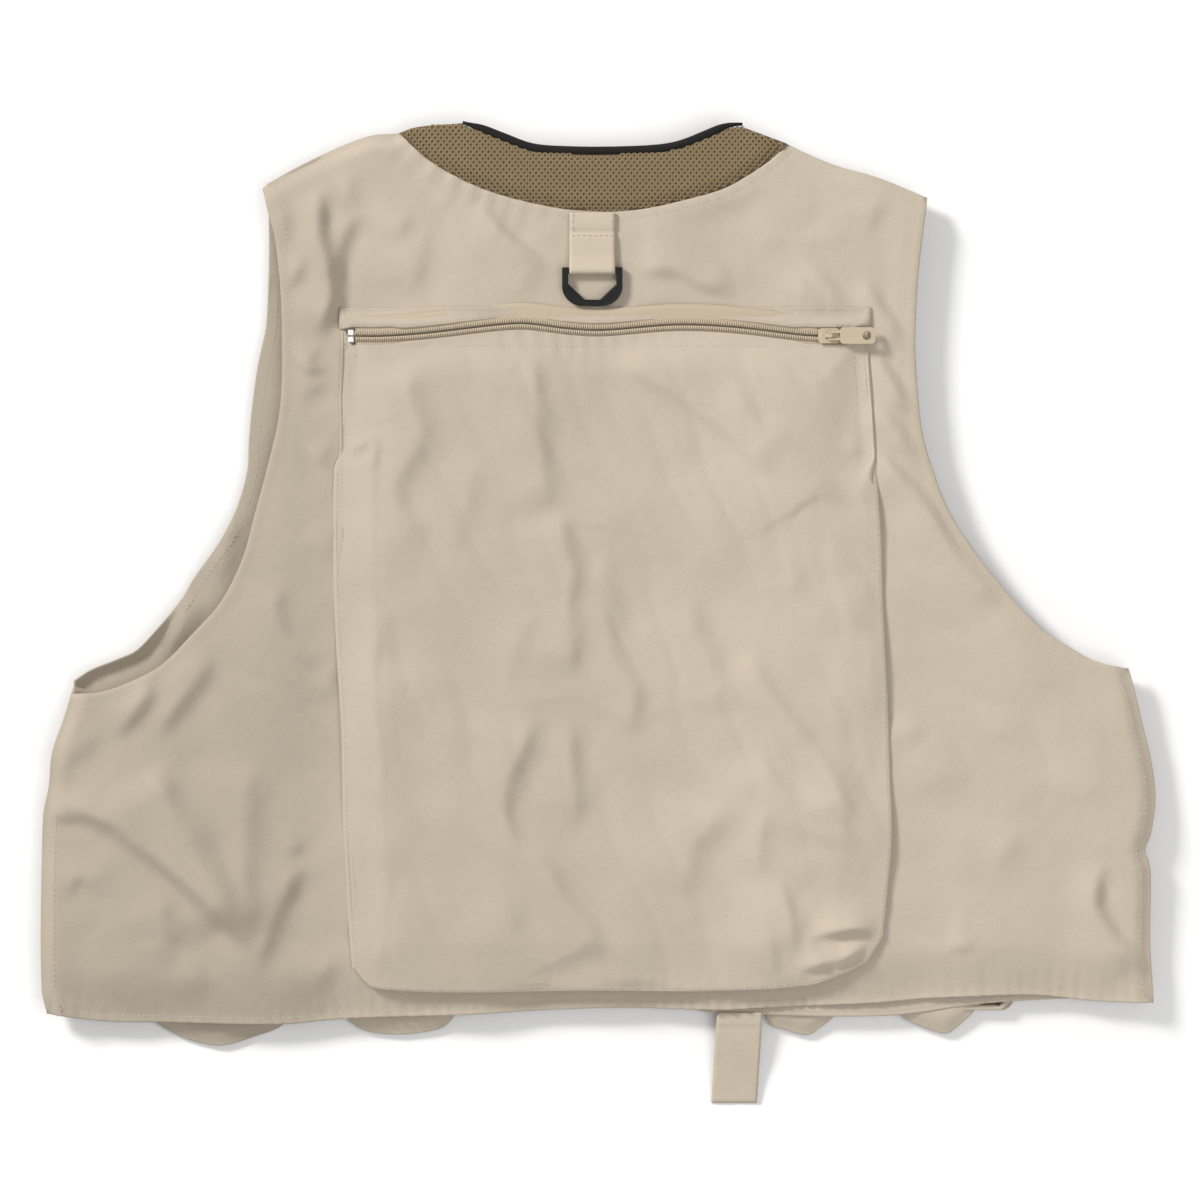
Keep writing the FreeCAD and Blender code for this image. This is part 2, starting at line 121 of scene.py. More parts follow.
def reach(spots, line):
    """Each spot's distance from the line, its side (1 is left of the way it runs), how far
    along it is, and the line's length."""
    best = np.full(len(spots), 1e9)
    side = np.zeros(len(spots))
    run = np.zeros(len(spots))
    length = 0.0
    for start, end in zip(line[:-1], line[1:]):
        step = end - start
        size = np.hypot(*step)
        share = np.clip((spots - start) @ step / size**2, 0, 1)
        gap = spots - start - share[:, None] * step
        distance = np.hypot(gap[:, 0], gap[:, 1])
        nearer = distance < best
        best[nearer] = distance[nearer]
        side[nearer] = np.sign(step[0] * gap[nearer, 1] - step[1] * gap[nearer, 0])
        run[nearer] = length + share[nearer] * size
        length += size
    return best, side, run, length


def rise(value):
    """0 below 0, 1 above 1, and smooth between."""
    value = np.clip(value, 0, 1)
    return value * value * (3 - 2 * value)


def inside(spots, edge):
    """Which spots are inside a closed edge."""
    x, y = spots.T
    result = np.zeros(len(spots), bool)
    for (x0, y0), (x1, y1) in zip(edge, np.roll(edge, -1, axis=0)):
        if y0 != y1:
            result ^= ((y0 > y) != (y1 > y)) & (x < (x1 - x0) * (y - y0) / (y1 - y0) + x0)
    return result


def around(edge):
    """The closed edge with its first point again at its end."""
    return np.vstack([edge, edge[:1]])


def flat_cloth(edge, grain, rows=(0.8, 2.0, 3.8)):
    """Spots and triangles that fill a closed edge: rows beside the edge, then an even lattice."""
    ring = around(edge)
    ahead = np.roll(edge, -1, axis=0) - np.roll(edge, 1, axis=0)
    inward = np.stack([-ahead[:, 1], ahead[:, 0]], 1) / np.hypot(*ahead.T)[:, None]
    if not inside(edge[:1] + 0.01 * inward[:1], edge)[0]:
        inward = -inward
    spots = [edge]
    for row in rows:
        moved = edge + row * inward
        keep = inside(moved, edge) & (reach(moved, ring)[0] > row * 0.9)
        spots.append(moved[keep])
    low, high = edge.min(0), edge.max(0)
    columns = np.arange(low[0], high[0], grain)
    levels = np.arange(low[1], high[1], grain * 0.866)
    x, y = np.meshgrid(columns, levels)
    x[1::2] += grain / 2
    lattice = np.stack([x.ravel(), y.ravel()], 1)
    lattice = lattice[inside(lattice, edge)]
    lattice = lattice[reach(lattice, ring)[0] > rows[-1] + grain * 0.6]
    spots = np.concatenate(spots + [lattice])
    count = len(edge)
    fence = [(i, (i + 1) % count) for i in range(count)]
    found = delaunay_2d_cdt([Vector(spot) for spot in spots], fence, [], 1, 1e-5)
    return np.array([tuple(spot) for spot in found[0]]), [tuple(face) for face in found[2]]


def make_piece(name, points, faces, material, thickness=0.0, painted_shade=None):
    """A smooth mesh object from points in millimetres, with a wall if a thickness is given. Its painted
    shade darkens each point's colour to stand for how the light falls: the wearer's left side of the cloth
    is painted darkest."""
    mesh = bpy.data.meshes.new(name)
    points = np.asarray(points, float)
    mesh.from_pydata((points * 0.001).tolist(), [], faces)
    # Painted shade: darker on the wearer's left side and a little lighter on the right, standing for how the
    # light falls across the vest.
    if painted_shade is None:
        painted_shade = 0.86 + 0.16 * rise((points[:, 0] + 175) / 60) + 0.05 * rise((points[:, 0] - 60) / 90)
    mesh.attributes.new("painted_shade", "FLOAT", "POINT").data.foreach_set("value", painted_shade)
    mesh.polygons.foreach_set("use_smooth", [True] * len(mesh.polygons))
    mesh.materials.append(material)
    mesh.update()
    piece = bpy.data.objects.new(name, mesh)
    scene.collection.objects.link(piece)
    if thickness:
        wall = piece.modifiers.new("wall", "SOLIDIFY")
        wall.thickness = thickness * 0.001
        wall.offset = -1
    return piece


def settle(piece, body, node=None):
    """Fixes a piece to its body, and in place of its plain solid."""
    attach(piece, body)
    if node:
        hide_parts(node)


def cloth_piece(name, edge, grain, height, thickness=0.7, rows=(0.8, 2.0, 3.8), painted_shade=None):
    """A piece of the vest's cloth with that closed edge, whose top follows the height."""
    spots, faces = flat_cloth(edge, grain, rows)
    if painted_shade:
        painted_shade = painted_shade(spots)
    points = np.column_stack([spots, height(spots)])
    return make_piece(name, points, faces, vest_cloth, thickness, painted_shade)


def crease(spots, lift, steep, broad, points):
    """A fold that stands up on its upper left side and falls off sharply on the other."""
    line = through(points, 4)
    near = (spots > line.min(0) - 5 * broad).all(1) & (spots < line.max(0) + 5 * broad).all(1)
    height = np.zeros(len(spots))
    if not near.any():
        return height
    distance, side, run, length = reach(spots[near], line)
    way = line[-1] - line[0]
    falls = -1 if way[0] + way[1] > 0 else 1
    steep, broad = 0.85 * steep, 1.5 * broad
    across = distance * side * falls + 0.6 * steep
    uneven = 1 + 0.12 * np.sin(run / 17 + points[0][0]) + 0.06 * np.sin(run / 7 + points[0][1])
    width = np.where(across < 0, broad * (2 - uneven), steep * uneven)
    shape = np.exp(-np.abs(across / width) ** np.where(across < 0, 1.35, 1.8))
    shape -= 0.18 * np.exp(-((across - 2.1 * steep) / (1.3 * steep)) ** 2)
    end = min(length * 0.5, 20)
    height[near] = lift * shape * rise(run / end) * rise((length - run) / end)
    return height


def ripples(distance, run, pitch, height, depth):
    """Little gathers along a seam, uneven in pitch, that die out away from it."""
    phase = 2 * np.pi * run / pitch + 1.3 * np.sin(run / 23) + 0.9 * np.sin(run / 9.7 + 1)
    strength = 0.65 + 0.35 * np.sin(run / 31 + 2)
    return height * strength * np.cos(phase) * np.exp(-distance / depth)


def drift(spots, seed, size, height):
    """A slow unevenness, as of cloth that was patted flat."""
    random = np.random.default_rng(seed)
    total = np.zeros(len(spots))
    for i in range(9):
        turn = random.uniform(0, 2 * np.pi)
        wave = 2 * np.pi / (size * random.uniform(0.6, 1.6))
        way = np.array([np.cos(turn), np.sin(turn)]) * wave
        total += np.sin(spots @ way + random.uniform(0, 2 * np.pi))
    return height * total / 3


def valleys(spots, seed, size, height):
    """Long creases that a folded cloth keeps: soft ridges between narrow valleys, lying aslant."""
    across = 0.82 * spots[:, 0] + 0.57 * spots[:, 1]
    along = 0.4 * (0.82 * spots[:, 1] - 0.57 * spots[:, 0])
    value = np.abs(drift(np.column_stack([across, along]), seed, size, 1.0))
    return height * np.sqrt(np.minimum(value, 0.8) ** 2 + 0.004)


def add_node(tree, kind, inputs=None, **settings):
    """A new node with its settings, its inputs given a value or joined to another output."""
    node = tree.nodes.new(kind)
    for setting, value in settings.items():
        setattr(node, setting, value)
    for socket, value in (inputs or {}).items():
        if isinstance(value, bpy.types.NodeSocket):
            tree.links.new(value, node.inputs[socket])
        else:
            node.inputs[socket].default_value = value
    return node


def noise(tree, scale, detail, roughness=0.5, distortion=0.0):
    """An uneven pattern that is fixed to the piece, from 0 to 1."""
    place = add_node(tree, "ShaderNodeTexCoord").outputs["Object"]
    return add_node(tree, "ShaderNodeTexNoise", {
        "Vector": place, "Scale": scale, "Detail": detail, "Roughness": roughness,
        "Distortion": distortion}).outputs["Fac"]


def weave_group():
    """A plain weave with slubs and soft creasing: a shade that multiplies the colour, and a height."""
    group = bpy.data.node_groups.new("plain_weave", "ShaderNodeTree")
    for name, start in (("Thread Pitch", 0.0009), ("Slubs", 0.5), ("Crinkle", 0.5), ("Mottle", 0.05)):
        socket = group.interface.new_socket(name, in_out="INPUT", socket_type="NodeSocketFloat")
        socket.default_value = start
    for name in ("Shade", "Height", "Crinkle Height"):
        group.interface.new_socket(name, in_out="OUTPUT", socket_type="NodeSocketFloat")
    given = add_node(group, "NodeGroupInput").outputs

    def sum_of(operation, first, second=0.5):
        return add_node(group, "ShaderNodeMath", {0: first, 1: second}, operation=operation).outputs[0]

    place = add_node(group, "ShaderNodeTexCoord").outputs["Object"]
    apart = add_node(group, "ShaderNodeSeparateXYZ", {0: place}).outputs
    turns = sum_of("DIVIDE", 2 * np.pi, given["Thread Pitch"])
    slub = sum_of("SUBTRACT", noise(group, 620, 3), 0.5)
    wobble = sum_of("MULTIPLY", slub, 2.2)
    down = sum_of("ADD", apart["Y"], apart["Z"])
    warp = sum_of("SINE", sum_of("ADD", sum_of("MULTIPLY", apart["X"], turns), wobble))
    weft = sum_of("SINE", sum_of("ADD", sum_of("MULTIPLY", down, turns), wobble))
    threads = sum_of("MULTIPLY", sum_of("MULTIPLY", warp, weft), 0.3)
    lumps = sum_of("MULTIPLY", sum_of("MULTIPLY", slub, given["Slubs"]), 2.0)
    height = sum_of("ADD", threads, lumps)
    blot = sum_of("MULTIPLY", sum_of("SUBTRACT", noise(group, 38, 4), 0.5), given["Mottle"])
    shade = sum_of("ADD", sum_of("ADD", blot, sum_of("MULTIPLY", height, 0.075)), 1.0)
    dents = sum_of("MULTIPLY", noise(group, 70, 5, 0.55, 0.6), given["Crinkle"])
    add_node(group, "NodeGroupOutput", {"Shade": shade, "Height": height, "Crinkle Height": dents})
    return group


weave = weave_group()


def cloth_material(name, colour, roughness, pitch, slubs, crinkle, mottle, sheen=0.25, with_painted_shade=False):
    """A woven cloth: its colour, with the weave's shade and bumps, and its mesh's painted shade if asked,
    which darkens the colour where the light is taken to fall less.
    """
    material = bpy.data.materials.new(name)
    material.use_nodes = True
    tree = material.node_tree
    shader = tree.nodes["Principled BSDF"]
    shader.inputs["Roughness"].default_value = roughness
    shader.inputs["Sheen Weight"].default_value = sheen
    shader.inputs["Sheen Roughness"].default_value = 0.5
    shader.inputs["Specular IOR Level"].default_value = 0.25
    threads = add_node(tree, "ShaderNodeGroup", {
        "Thread Pitch": pitch, "Slubs": slubs, "Crinkle": crinkle, "Mottle": mottle}, node_tree=weave)
    shade = threads.outputs["Shade"]
    if with_painted_shade:
        # Painted shade: the mesh attribute darkens the cloth's colour, standing for the light falling off
        # across the vest.
        painted_side_shade = add_node(tree, "ShaderNodeAttribute", attribute_name="painted_shade").outputs["Fac"]
        shade = add_node(tree, "ShaderNodeMath", {0: shade, 1: painted_side_shade}, operation="MULTIPLY").outputs[0]
    dye = add_node(tree, "ShaderNodeVectorMath", {0: colour, "Scale": shade}, operation="SCALE")
    soft = add_node(tree, "ShaderNodeBump", {
        "Height": threads.outputs["Crinkle Height"], "Distance": 0.0015, "Strength": 0.55})
    fine = add_node(tree, "ShaderNodeBump", {
        "Height": threads.outputs["Height"], "Distance": 0.00022, "Strength": 0.6,
        "Normal": soft.outputs["Normal"]})
    tree.links.new(dye.outputs[0], shader.inputs["Base Color"])
    tree.links.new(fine.outputs["Normal"], shader.inputs["Normal"])
    return material


beige = (0.492, 0.425, 0.335)
# The vest's cloth shows each mesh's painted shade.
vest_cloth = cloth_material("vest_cloth", beige, 0.82, 0.00085, 0.5, 0.5, 0.05, with_painted_shade=True)

neck_seam = through([(105, 261), (97, 253), (86, 245), (70, 236), (50, 230), (28, 225), (8, 223),
                     (-15, 224), (-28, 226), (-46, 230), (-65, 236), (-82, 244), (-96, 253),
                     (-111, 267)], 3)
left_shoulder = through([(-111, 267), (-128, 265), (-156, 254), (-184, 239), (-187, 236)], 3)
left_armhole = through([(-187, 236), (-184, 224), (-180, 209), (-177, 183), (-176, 160),
                        (-176, 128), (-178, 107), (-183, 85), (-191, 55), (-198, 30), (-210, 6),
                        (-226, -12), (-243, -29), (-262, -39), (-277, -44), (-293, -45)], 3)
left_side = through([(-293, -45), (-298, -60), (-304, -78), (-306, -97), (-309, -112), (-310, -141),
                     (-310, -209), (-307, -223)], 3)
back_hem = through([(-307, -223), (-279, -227), (-247, -228), (-176, -229), (-141, -226),
                    (-80, -224), (1, -220), (67, -221), (90, -220), (157, -217), (179, -215),
                    (223, -213), (245, -213), (277, -216), (309, -217)], 3)
right_side = through([(309, -217), (308, -200), (307, -184), (307, -142), (304, -132), (307, -124),
                      (310, -103), (308, -84), (303, -63), (298, -42), (295, -31)], 3)
right_armhole = through([(295, -31), (277, -27), (260, -18), (245, -8), (224, 15), (207, 37),
                         (194, 58), (186, 79), (180, 100), (177, 128), (176, 153), (178, 191),
                         (183, 231)], 3)
right_shoulder = through([(183, 231), (156, 242), (132, 249), (113, 257), (105, 261)], 3)
back_edge = closed(neck_seam, left_shoulder, left_armhole, left_side, back_hem, right_side,
                   right_armhole, right_shoulder)

pocket_left_edge = through([(-144, 169), (-143, 155), (-144, 120), (-144, 88), (-147, 80),
                            (-147, 7), (-143, -67), (-142, -120), (-139, -173), (-137, -197)], 3)
pocket_low_edge = np.vstack([through([(-137, -197), (-123, -209), (1, -210), (65, -210), (116, -207),
                                      (137, -200), (149, -194)], 3)[:-1],
                             through([(149, -194), (158, -180)], 3)])
pocket_right_edge = through([(158, -180), (161, -150), (163, -124), (162, -88),
                             (161, -57), (159, -14), (158, 7), (157, 43), (154, 85), (152, 117),
                             (150, 147), (151, 169)], 3)
under_pocket = closed(pocket_left_edge, pocket_low_edge, pocket_right_edge,
                      np.array([(151.0, 169.0), (-144.0, 169.0)]))

back_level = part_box("back_panel")[1][2] * 1000
seam_drop = 4.0
hem_drop = 5.6
ring_middle = (-3.5, 196)
back_creases = [
    (3.6, 4.5, 9, [(-180, 232), (-175, 221), (-173, 207), (-176, 200)]),
    (2.6, 4, 9, [(-164, 201), (-167, 188), (-174, 176)]),
    (4.6, 5, 9, [(-153, 240), (-152, 207), (-149, 190), (-147, 174), (-152, 160), (-157, 149)]),
    (1.8, 7, 12, [(-135, 249), (-137, 229), (-138, 215)]),
    (2.8, 5, 9, [(-127, 224), (-141, 207), (-146, 179)]),
    (1.6, 7, 12, [(-91, 218), (-96, 196), (-102, 174)]),
    (1.4, 6, 10, [(-103, 225), (-107, 215), (-110, 203)]),
    (2.2, 2.6, 6, [(-172, 152), (-166, 140), (-160, 133), (-147, 135)]),
    (1.5, 6, 9, [(-146, 129), (-157, 123), (-168, 116)]),
    (1.4, 4, 8, [(-166, 96), (-157, 84), (-147, 79)]),
    (1.8, 4, 7, [(-113, 260), (-94, 244), (-74, 232), (-66, 226)]),
    (3.0, 3.8, 9, [(-66, 231), (-60, 221), (-52, 213), (-38, 201), (-27, 191), (-20, 182)]),
    (1.6, 4, 7, [(-26, 223), (-21, 214), (-17, 205)]),
    (2.2, 4, 10, [(13, 196), (23, 191), (37, 189), (56, 183), (70, 178), (78, 172)]),
    (1.6, 7, 10, [(23, 219), (51, 224), (79, 231), (98, 238)]),
    (1.8, 4, 8, [(102, 195), (115, 182), (128, 168)]),
    (1.8, 4, 8, [(113, 200), (131, 179), (144, 166)]),
    (2.6, 3.8, 8, [(146, 188), (156, 171), (165, 160), (174, 147)]),
    (2.8, 3.2, 7, [(154, 150), (162, 132), (176, 110)]),
    (2.6, 3.4, 8, [(150, 121), (167, 102), (182, 86)]),
    (3.4, 3.6, 8, [(152, 92), (167, 78), (184, 60), (198, 38), (212, 21), (228, 5)]),
    (1.4, 6, 9, [(157, 234), (154, 220), (150, 208)]),
    (0.8, 7, 12, [(79, 206), (110, 205), (145, 207)]),
    (4.2, 5, 16, [(-302, -105), (-285, -112), (-271, -119), (-252, -134), (-221, -158),
                  (-207, -173), (-193, -188)]),
    (1.6, 3, 6, [(-308, -110), (-297, -114), (-283, -117)]),
    (4.4, 11, 18, [(-246, -80), (-227, -115), (-216, -137), (-205, -154), (-194, -172)]),
    (3.0, 7, 12, [(-160, -135), (-174, -162), (-181, -179), (-185, -193), (-183, -203)]),
    (1.4, 6, 10, [(-160, -126), (-168, -131), (-176, -136)]),
    (1.8, 7, 12, [(-251, -148), (-241, -162), (-237, -181), (-232, -198)]),
    (1.6, 7, 11, [(-231, -183), (-223, -200), (-214, -217)]),
    (2.0, 4, 7, [(-295, -162), (-289, -148), (-282, -154), (-275, -161)]),
    (1.4, 6, 10, [(-158, -218), (-149, -198), (-139, -182)]),
    (3.0, 5, 10, [(-246, -26), (-251, -48), (-257, -57), (-270, -72)]),
    (1.6, 7, 11, [(-270, -62), (-277, -68), (-291, -82), (-294, -96)]),
    (2.4, 6, 11, [(-211, -20), (-224, -43), (-232, -54), (-246, -72)]),
    (1.6, 6, 11, [(-173, 22), (-177, 2), (-171, -15), (-149, -24)]),
    (1.2, 6, 9, [(-166, 43), (-156, 36), (-147, 27)]),
    (1.2, 6, 9, [(-148, -26), (-147, -38), (-145, -50)]),
    (2.6, 10, 16, [(-189, -80), (-193, -120), (-190, -180)]),
    (1.1, 6, 9, [(168, -52), (176, -62), (184, -72)]),
    (1.0, 6, 10, [(203, -58), (223, -69), (238, -78)]),
    (0.7, 10, 16, [(165, -99), (190, -94), (214, -93)]),
    (0.8, 10, 16, [(237, -97), (262, -101), (292, -105)]),
    (1.8, 9, 14, [(236, -116), (229, -134), (222, -152)]),
    (0.7, 9, 13, [(182, -133), (197, -143), (214, -149)]),
    (3.4, 4, 9, [(282, -136), (278, -162), (284, -176), (295, -187), (306, -200)]),
    (1.2, 3, 8, [(192, -186), (202, -187), (212, -186)]),
]


def wander(spots, seed, size, far):
    """The spots moved about a little, so that creases drawn by them aren't quite even."""
    return spots + np.column_stack([drift(spots, seed, size, far), drift(spots, seed + 1, size, far)])


def back_height(spots):
    """The top of the back panel above each spot."""
    sides = np.minimum(reach(spots, left_side)[0], reach(spots, right_side)[0])
    shoulders = np.minimum(reach(spots, left_shoulder)[0], reach(spots, right_shoulder)[0])
    arm_left, arm_right = reach(spots, left_armhole), reach(spots, right_armhole)
    arms = np.minimum(arm_left[0], arm_right[0])
    neck, hem = reach(spots, neck_seam), reach(spots, back_hem)
    pocket = reach(spots, around(under_pocket))[0]
    under = rise(1 - np.where(inside(spots, under_pocket), pocket, 0) / 9)
    relief = drift(spots, 3, 90, 0.9) + drift(spots, 4, 42, 0.26) + drift(spots, 5, 17, 0.04)
    relief += valleys(spots, 6, 46, 0.75)
    moved = wander(spots, 60, 40, 0.7)
    for lift, steep, broad, points in back_creases:
        relief += 1.25 * crease(moved, lift, steep, broad, points)
    from_ring = (spots - ring_middle) / (18, 24)
    ring_near = rise(2.2 - np.hypot(from_ring[:, 0], from_ring[:, 1]))
    relief *= under * (1 - 0.85 * ring_near)
    relief *= 0.35 + 0.65 * rise(np.minimum(neck[0], arms) / 14)
    gathers = ripples(neck[0], neck[2], 10.5, 0.9, 7) * (1 - 0.5 * rise((spots[:, 0] + 20) / 40))
    gathers += ripples(neck[0], neck[2], 4.6, 0.42, 4)
    relief += gathers * (1 - ring_near)
    relief += ripples(hem[0], hem[2], 7.6, 0.8, 9)
    relief += ripples(arm_left[0], arm_left[2], 5.6, 0.5, 7) * rise((-200 - spots[:, 0]) / 60)
    relief += ripples(arm_right[0], arm_right[2], 7.5, 0.16, 6)
    for line, gap in ((neck[0], 4), (hem[0], 3.6), (arms, 7)):
        relief -= 0.28 * np.exp(-((line - gap) / 1.0) ** 2)
    zip_top = np.hypot(np.maximum(np.abs(spots[:, 0] - 103) - 22, 0), spots[:, 1] - 172)
    relief += ripples(zip_top, spots[:, 0], 10, 0.5, 5)
    drop = seam_drop * (1 - rise(np.minimum(sides, shoulders) / 9))
    drop += hem_drop * (1 - rise(hem[0] / 30)) * rise((sides + 4) / 30)
    edge_round = 0.5 * (1 - rise(np.minimum(neck[0], arms) / 1.6))
    return back_level + relief - drop - edge_round


back_cloth = cloth_piece("back_cloth", back_edge, 3.0, back_height)
settle(back_cloth, "vest", "back_panel")


# ---- Sewing thread
# Lock stitches of polyester thread in the cloth's colour, about three to the centimetre, sunk
# a little in the cloth. Each row follows its seam and lies on the cloth under it.


def new_tree(name, sockets, made):
    """An empty Geometry Nodes tree with named inputs, and its input node's outputs."""
    tree = bpy.data.node_groups.new(name, "GeometryNodeTree")
    for socket_name, kind in sockets.items():
        tree.interface.new_socket(socket_name, in_out="INPUT", socket_type="NodeSocket" + kind)
    tree.interface.new_socket(made, in_out="OUTPUT", socket_type="NodeSocketGeometry")
    return tree, add_node(tree, "NodeGroupInput").outputs


def spread_out(tree, points, shape, rotation, material):
    """Ends a tree: the shape on every point, made real and given its material."""
    where = {"Points": points, "Instance": shape}
    if rotation:
        where["Rotation"] = rotation
    spread = add_node(tree, "GeometryNodeInstanceOnPoints", where)
    real = add_node(tree, "GeometryNodeRealizeInstances", {0: spread.outputs[0]})
    finish = add_node(tree, "GeometryNodeSetMaterial", {
        "Geometry": real.outputs[0], "Material": material})
    add_node(tree, "NodeGroupOutput", {0: finish.outputs[0]})
    return tree


def line_beads():
    """A Geometry Nodes tree that sets small rounded beads, end to end, along every line."""
    tree, given = new_tree("beads_along_lines", {
        "Lines": "Geometry", "Pitch": "Float", "Long": "Float", "Wide": "Float", "High": "Float",
        "Material": "Material"}, "Beads")
    lines = add_node(tree, "GeometryNodeMeshToCurve", {0: given["Lines"]})
    places = add_node(tree, "GeometryNodeCurveToPoints", {
        "Curve": lines.outputs[0], "Length": given["Pitch"]}, mode="LENGTH")
    turn = add_node(tree, "FunctionNodeAlignRotationToVector", {
        "Vector": places.outputs["Tangent"]}, axis="X", pivot_axis="Z")
    ball = add_node(tree, "GeometryNodeMeshUVSphere", {"Segments": 6, "Rings": 4, "Radius": 0.5})
    size = add_node(tree, "ShaderNodeCombineXYZ", {
        "X": given["Long"], "Y": given["Wide"], "Z": given["High"]})
    stretch = add_node(tree, "GeometryNodeTransform", {
        "Geometry": ball.outputs["Mesh"], "Scale": size.outputs[0]})
    smooth = add_node(tree, "GeometryNodeSetShadeSmooth", {0: stretch.outputs[0]})
    return spread_out(tree, places.outputs["Points"], smooth.outputs[0], turn.outputs[0],
                      given["Material"])


bead_tree = line_beads()


def grown(name, tree, source_mesh, values):
    """The plain mesh object that a Geometry Nodes tree makes from a mesh, with its inputs set."""
    source = bpy.data.objects.new(name + "_lines", source_mesh)
    scene.collection.objects.link(source)
    maker = source.modifiers.new("maker", "NODES")
    maker.node_group = tree
    for item in tree.interface.items_tree:
        if item.in_out == "INPUT" and item.name in values:
            maker[item.identifier] = values[item.name]
    source_ready = source.evaluated_get(bpy.context.evaluated_depsgraph_get())
    plain = bpy.data.meshes.new_from_object(source_ready)
    bpy.data.objects.remove(source)
    piece = bpy.data.objects.new(name, plain)
    scene.collection.objects.link(piece)
    return piece


def beads(name, runs, pitch, long, wide, high, material):
    """Beads along runs of points in millimetres: stitches, or the turns of a zip's coil."""
    points, edges = [], []
    for run in runs:
        first = len(points)
        points += (np.asarray(run) * 0.001).tolist()
        edges += [(first + i, first + i + 1) for i in range(len(run) - 1)]
    mesh = bpy.data.meshes.new(name)
    mesh.from_pydata(points, edges, [])
    sizes = {"Pitch": pitch * 0.001, "Long": long * 0.001, "Wide": wide * 0.001,
             "High": high * 0.001, "Material": material}
    return grown(name, bead_tree, mesh, sizes)


def beside(line, offset):
    """The line moved sideways, to the left of the way it runs."""
    ahead = np.gradient(line, axis=0)
    return line + offset * np.stack([-ahead[:, 1], ahead[:, 0]], 1) / np.hypot(*ahead.T)[:, None]


def on_cloth(line, height):
    """A flat line laid on a cloth, a hair above its surface."""
    return np.column_stack([line, height(line) + 0.06])


sewing_thread = cloth_material("sewing_thread", (0.60, 0.53, 0.43), 0.6, 0.0004, 0.2, 0.0, 0.1)
stitch_sizes = (2.9, 2.1, 0.42, 0.34, sewing_thread)
back_rows = [
    beside(neck_seam, 4.0), beside(left_armhole, 7.0), beside(right_armhole, 7.0),
    beside(back_hem, 3.6), beside(right_side[2:-3], 5.5), beside(left_side[22:], 8.0),
    beside(left_shoulder, 2.4), beside(right_shoulder, 2.4),
]
back_stitches = beads("back_stitches", [on_cloth(row, back_height) for row in back_rows],
                      *stitch_sizes)
settle(back_stitches, "vest")

# ---- Front panels
# Two fronts of the same cloth lie underneath. Their armhole edges and hem show past the back's,
# and a separating zip joins them down the middle of the underside.
front_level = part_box("front_panel_left")[1][2] * 1000
seam_level = 12.0
front_left_armhole = through([(-187, 236), (-184, 224), (-185, 164), (-190, 138), (-193, 117),
                              (-195, 96), (-196, 79), (-202, 58), (-211, 40), (-226, 19),
                              (-233, 7), (-256, -20), (-268, -26), (-283, -32), (-292, -38)], 3)
zip_top_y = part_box("front_zip_tape_left")[1][1] * 1000
front_edge_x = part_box("front_panel_right")[0][0] * 1000
front_hem_y = -218.0
front_left_neck = through([(-front_edge_x, zip_top_y), (-34, 182), (-72, 222), (-111, 267)], 3)
front_right_neck = through([(105, 261), (70, 220), (33, 182), (front_edge_x, zip_top_y)], 3)
front_left_side = through([(-292, -38), (-298, -60), (-304, -78), (-306, -97), (-309, -112),
                           (-309, -141), (-309, -209), (-306, -221)], 3)
front_left_hem = through([(-306, -221), (-250, -223), (-150, -221), (-front_edge_x, front_hem_y)], 3)
front_right_hem = through([(front_edge_x, front_hem_y), (45, -219), (60, -222.5), (94, -224),
                           (132, -225), (169, -224), (213, -218), (262, -215), (308, -216)], 3)
front_left_edge = closed(
    front_left_neck, left_shoulder, front_left_armhole, front_left_side, front_left_hem,
    np.array([(-front_edge_x, front_hem_y), (-front_edge_x, zip_top_y)]))
front_right_edge = closed(
    front_right_neck, np.array([(front_edge_x, zip_top_y), (front_edge_x, front_hem_y)]),
    front_right_hem, right_side + (-1, 0), beside(right_armhole, 1.2), right_shoulder)
front_creases = [
    (3.0, 4, 8, [(-219, 12), (-235, -15), (-245, -30)]),
    (2.4, 4, 8, [(-197, 60), (-207, 29), (-214, 12)]),
    (2.0, 4, 9, [(-186, 200), (-188, 170), (-195, 140)]),
    (2.0, 6, 12, [(-120, 120), (-110, 60), (-130, 10)]),
    (2.0, 6, 12, [(120, 120), (100, 60), (130, 10)]),
]


def front_height(spots):
    """The top (inside) of a front panel above each spot."""
    seams = np.minimum(reach(spots, left_side)[0], reach(spots, right_side)[0])
    seams = np.minimum(seams, reach(spots, left_shoulder)[0])
    seams = np.minimum(seams, reach(spots, right_shoulder)[0])
    middle = rise((np.abs(spots[:, 0]) - 12) / 30)
    relief = drift(spots, 8, 80, 0.4) * middle
    for lift, steep, broad, points in front_creases:
        relief += crease(spots, lift, steep, broad, points) * middle
    hem = reach(spots, front_left_hem)[0]
    underarm = rise((-225 - spots[:, 0]) / 25) * rise((10 - spots[:, 1]) / 20)
    lip = reach(spots, front_left_armhole)[0]
    relief += underarm * (2.6 * (1 - rise(lip / 3)) - 2.4 * rise(lip / 4) * (1 - rise(lip / 22)))
    relief += ripples(hem, spots[:, 0], 7.6, 0.2, 6) * middle
    up = (seam_level - 0.6 - front_level) * (1 - rise(seams / (10 - 6 * underarm)))
    return front_level + relief + up


for hand, edge in (("left", front_left_edge), ("right", front_right_edge)):
    piece = cloth_piece("front_cloth_" + hand, edge, 4.5, front_height)
    settle(piece, "vest", "front_panel_" + hand)
front_rows = [beside(front_left_armhole, 5.5), beside(front_right_hem, 3.0)]
front_stitches = beads("front_stitches", [on_cloth(row, front_height) for row in front_rows],
                       *stitch_sizes)
settle(front_stitches, "vest")


